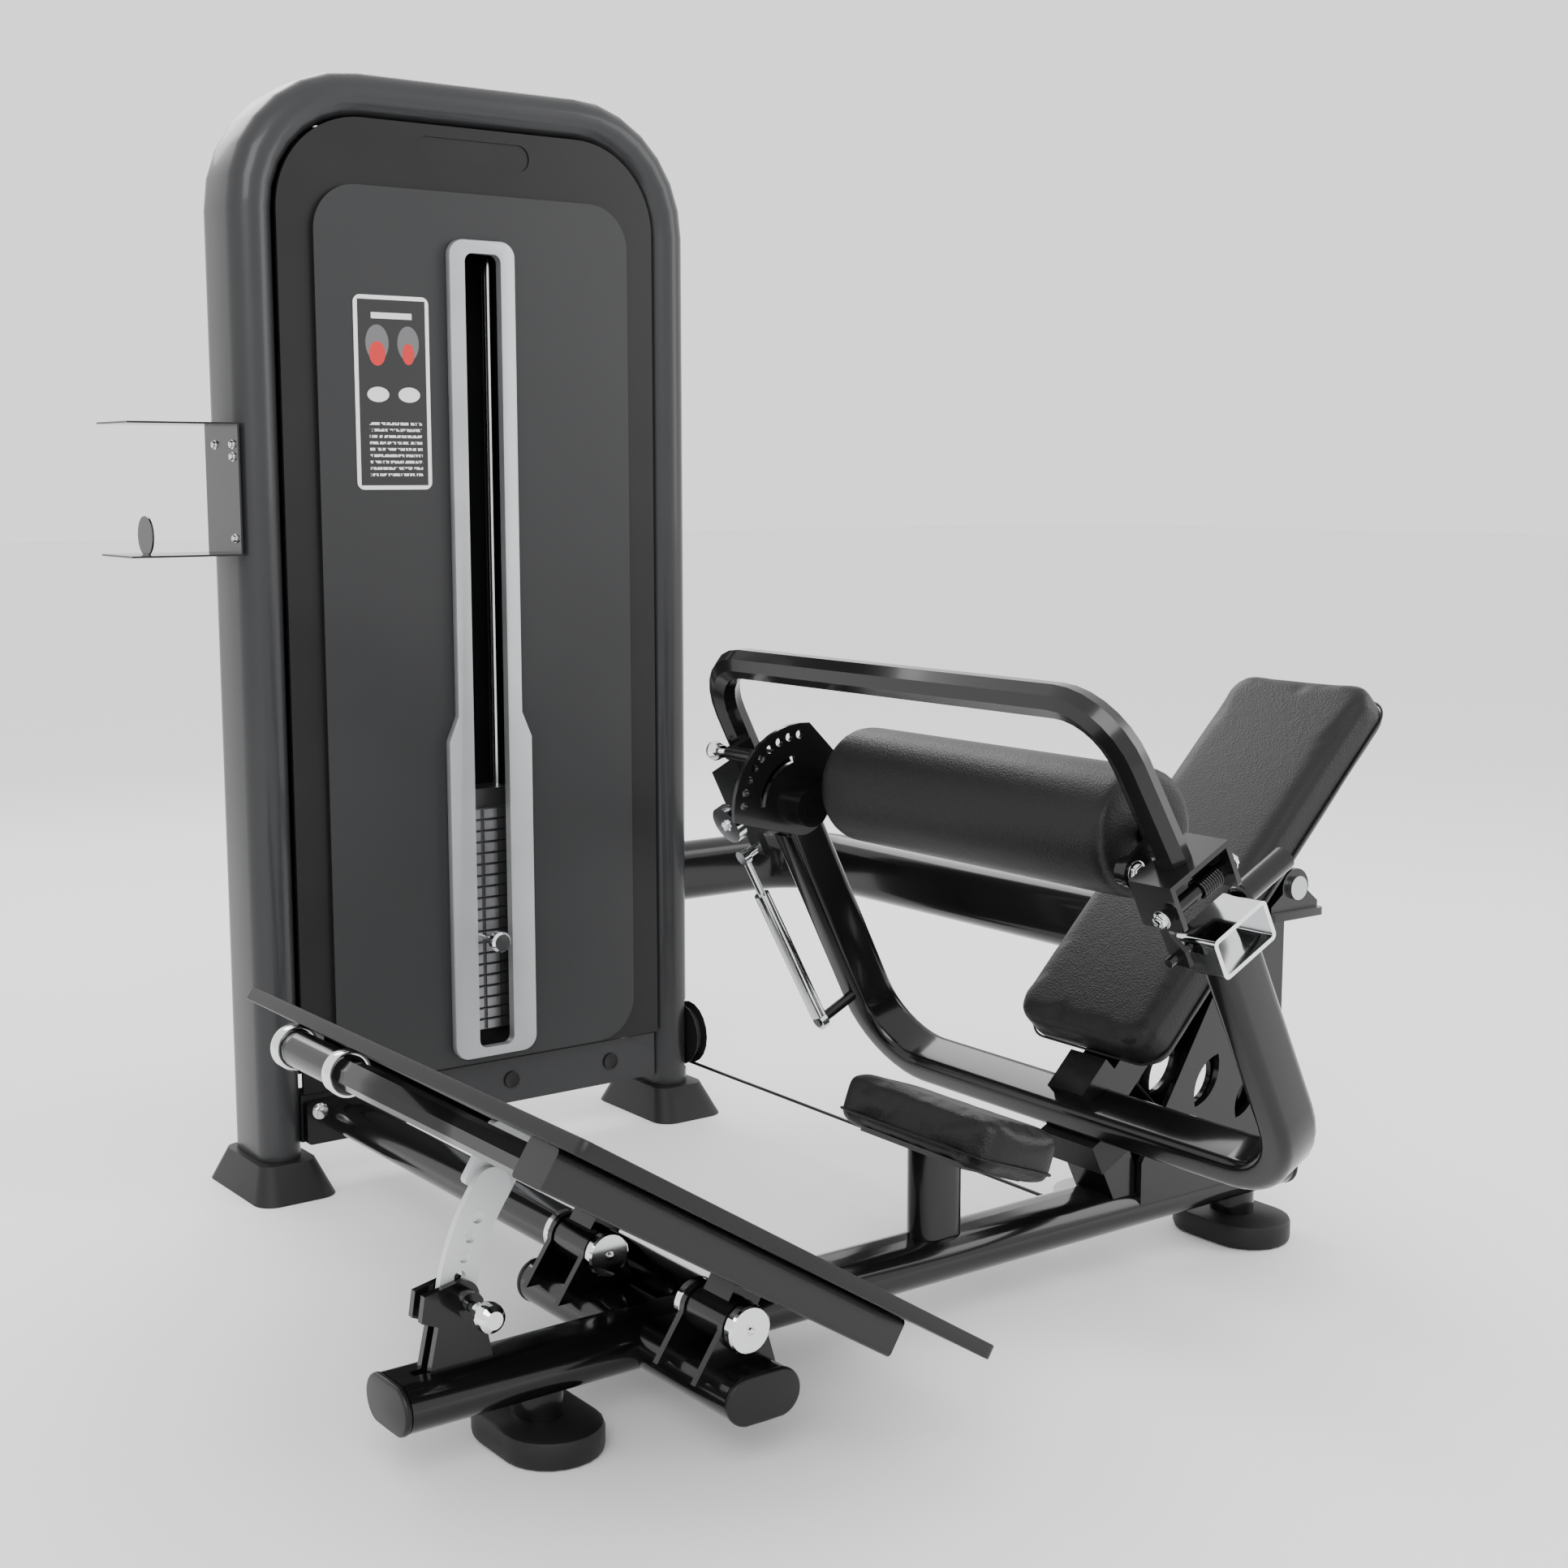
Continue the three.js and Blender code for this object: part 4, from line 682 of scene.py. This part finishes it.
# ---------------------------------------------------------------- gate springs and nuts
# Torsion spring on the gate bracket's shaft: black spring wire wound round the shaft.
# Hexagon nuts hold the shaft's ends and the latch box.
LEAN = radians(26.4)
ARM_PLACE = Matrix.Translation(at(650, BENCH_Y, 230)) @ Matrix.Rotation(-LEAN, 4, "Y")


def on_arm(x, y, z):
    return ARM_PLACE @ (Vector((x, y, z)) * MM)


ARM_X = ARM_PLACE.to_3x3() @ Vector((1, 0, 0))
ARM_Y = Vector((0, 1, 0))
ARM_Z = ARM_PLACE.to_3x3() @ Vector((0, 0, 1))
for index, (x, y, z, way, body, size) in enumerate((
        (48, -354, 369, 1, "gate", 0.9), (-60, -354, 369, -1, "gate", 0.9),
        (54, 364, 384, 1, "swing_arm", 0.9), (-80, 364, 384, -1, "swing_arm", 0.7))):
    place_bolt(f"gate_nut_{index}", on_arm(x, y, z), ARM_X * way, body, size)
place_bolt("roller_nut_near", on_arm(40, -283.2, 393), -ARM_Y, "roller_arm", 1.1)
place_bolt("sector_nut", on_arm(-13, -283.2, 383), -ARM_Y, "roller_arm", 1.1)
place_bolt("roller_nut_far", on_arm(40, 291.2, 393), ARM_Y, "roller_arm", 1.1)
bpy.data.objects.remove(bolt)


def spring(name, centre, direction, radius, wire, turns, length, body):
    """A coil spun from a small ring of wire in edit mode."""
    clear_selection()
    bpy.ops.mesh.primitive_circle_add(vertices=8, radius=wire, location=(radius, 0, 0),
                                      rotation=(radians(90), 0, 0))
    made = bpy.context.object
    bpy.ops.object.transform_apply(location=True, rotation=True, scale=True)
    screw = made.modifiers.new("coil", "SCREW")
    screw.angle = radians(360 * turns)
    screw.screw_offset = length
    screw.steps = 16 * turns
    screw.render_steps = 16 * turns
    bpy.ops.object.modifier_apply(modifier=screw.name)
    bpy.ops.object.mode_set(mode="EDIT")
    bpy.ops.mesh.select_all(action="SELECT")
    bpy.ops.mesh.remove_doubles(threshold=0.00001)
    bpy.ops.mesh.fill_holes(sides=8)
    bpy.ops.mesh.normals_make_consistent(inside=False)
    bpy.ops.object.mode_set(mode="OBJECT")
    made.rotation_euler = aim_rotation(direction)
    made.location = Vector(centre) - Vector(direction) * length / 2
    return settle(name, black_paint, body, 60)


spring("gate_spring", on_arm(10, -354, 369), ARM_X, 0.0105, 0.0014, 9, 0.030, "gate")

# ---------------------------------------------------------------- cable end
# Fitting and link plates at the cable's end: a turned steel ferrule pressed on the cable,
# and two chromed plates on both sides of it. They stay with the cable.
turned_disc("cable_end_fitting", at(762, BENCH_Y, 235), (-0.7, 0, 0.7), 0.006, 0.018, chrome,
            "machine_frame")
for index, offset in enumerate((-9, 9)):
    place = flat_plate(0.050, 0.014, 0.003, 0.0055)
    place.rotation_euler = (0, radians(45), 0)
    place.location = at(745, BENCH_Y + offset, 252)
    settle(f"cable_link_{index}", chrome, "machine_frame")


# ---------------------------------------------------------------- floor, light and camera
# A plain pale floor, broad soft lights from above and both sides, and a camera at standing
# distance to the front left.
pale = bpy.data.materials.new("pale floor")
pale.use_nodes = True
made, links = named_nodes(pale)
made["Principled BSDF"].inputs["Base Color"].default_value = (0.93, 0.93, 0.93, 1)
made["Principled BSDF"].inputs["Roughness"].default_value = 0.7
clear_selection()
bpy.ops.mesh.primitive_plane_add(size=60, location=(0, 0, -0.0005))
floor = bpy.context.object
floor.name = "floor"
floor.data.materials.append(pale)

world = bpy.data.worlds.new("studio")
bpy.context.scene.world = world
world.use_nodes = True
world.node_tree.nodes["Background"].inputs["Color"].default_value = (1, 1, 1, 1)
world.node_tree.nodes["Background"].inputs["Strength"].default_value = 1.5


def softbox(name, place, size, power):
    data = bpy.data.lights.new(name, "AREA")
    data.shape = "RECTANGLE"
    data.size, data.size_y = size
    data.energy = power
    lamp = bpy.data.objects.new(name, data)
    bpy.context.scene.collection.objects.link(lamp)
    lamp.location = place
    lamp.rotation_euler = (Vector((0, 0, 0.6)) - Vector(place)).to_track_quat("-Z", "Y").to_euler()


softbox("key", (-2.6, -3.2, 3.4), (2.4, 2.4), 120)
softbox("fill", (3.4, -2.2, 2.2), (2.0, 3.0), 70)
softbox("rim", (0.5, 3.2, 3.0), (3.0, 1.5), 80)

camera = bpy.data.objects.new("camera", bpy.data.cameras.new("camera"))
bpy.context.scene.collection.objects.link(camera)
bpy.context.scene.camera = camera
camera.location = (-1.5595, -2.1558, 0.9723)
heading, drop = radians(36.69), radians(8.07)
ahead = Vector((math.sin(heading) * math.cos(drop), math.cos(heading) * math.cos(drop), -math.sin(drop)))
camera.rotation_euler = ahead.to_track_quat("-Z", "Y").to_euler()
camera.data.lens = 50.01
camera.data.sensor_width = 36
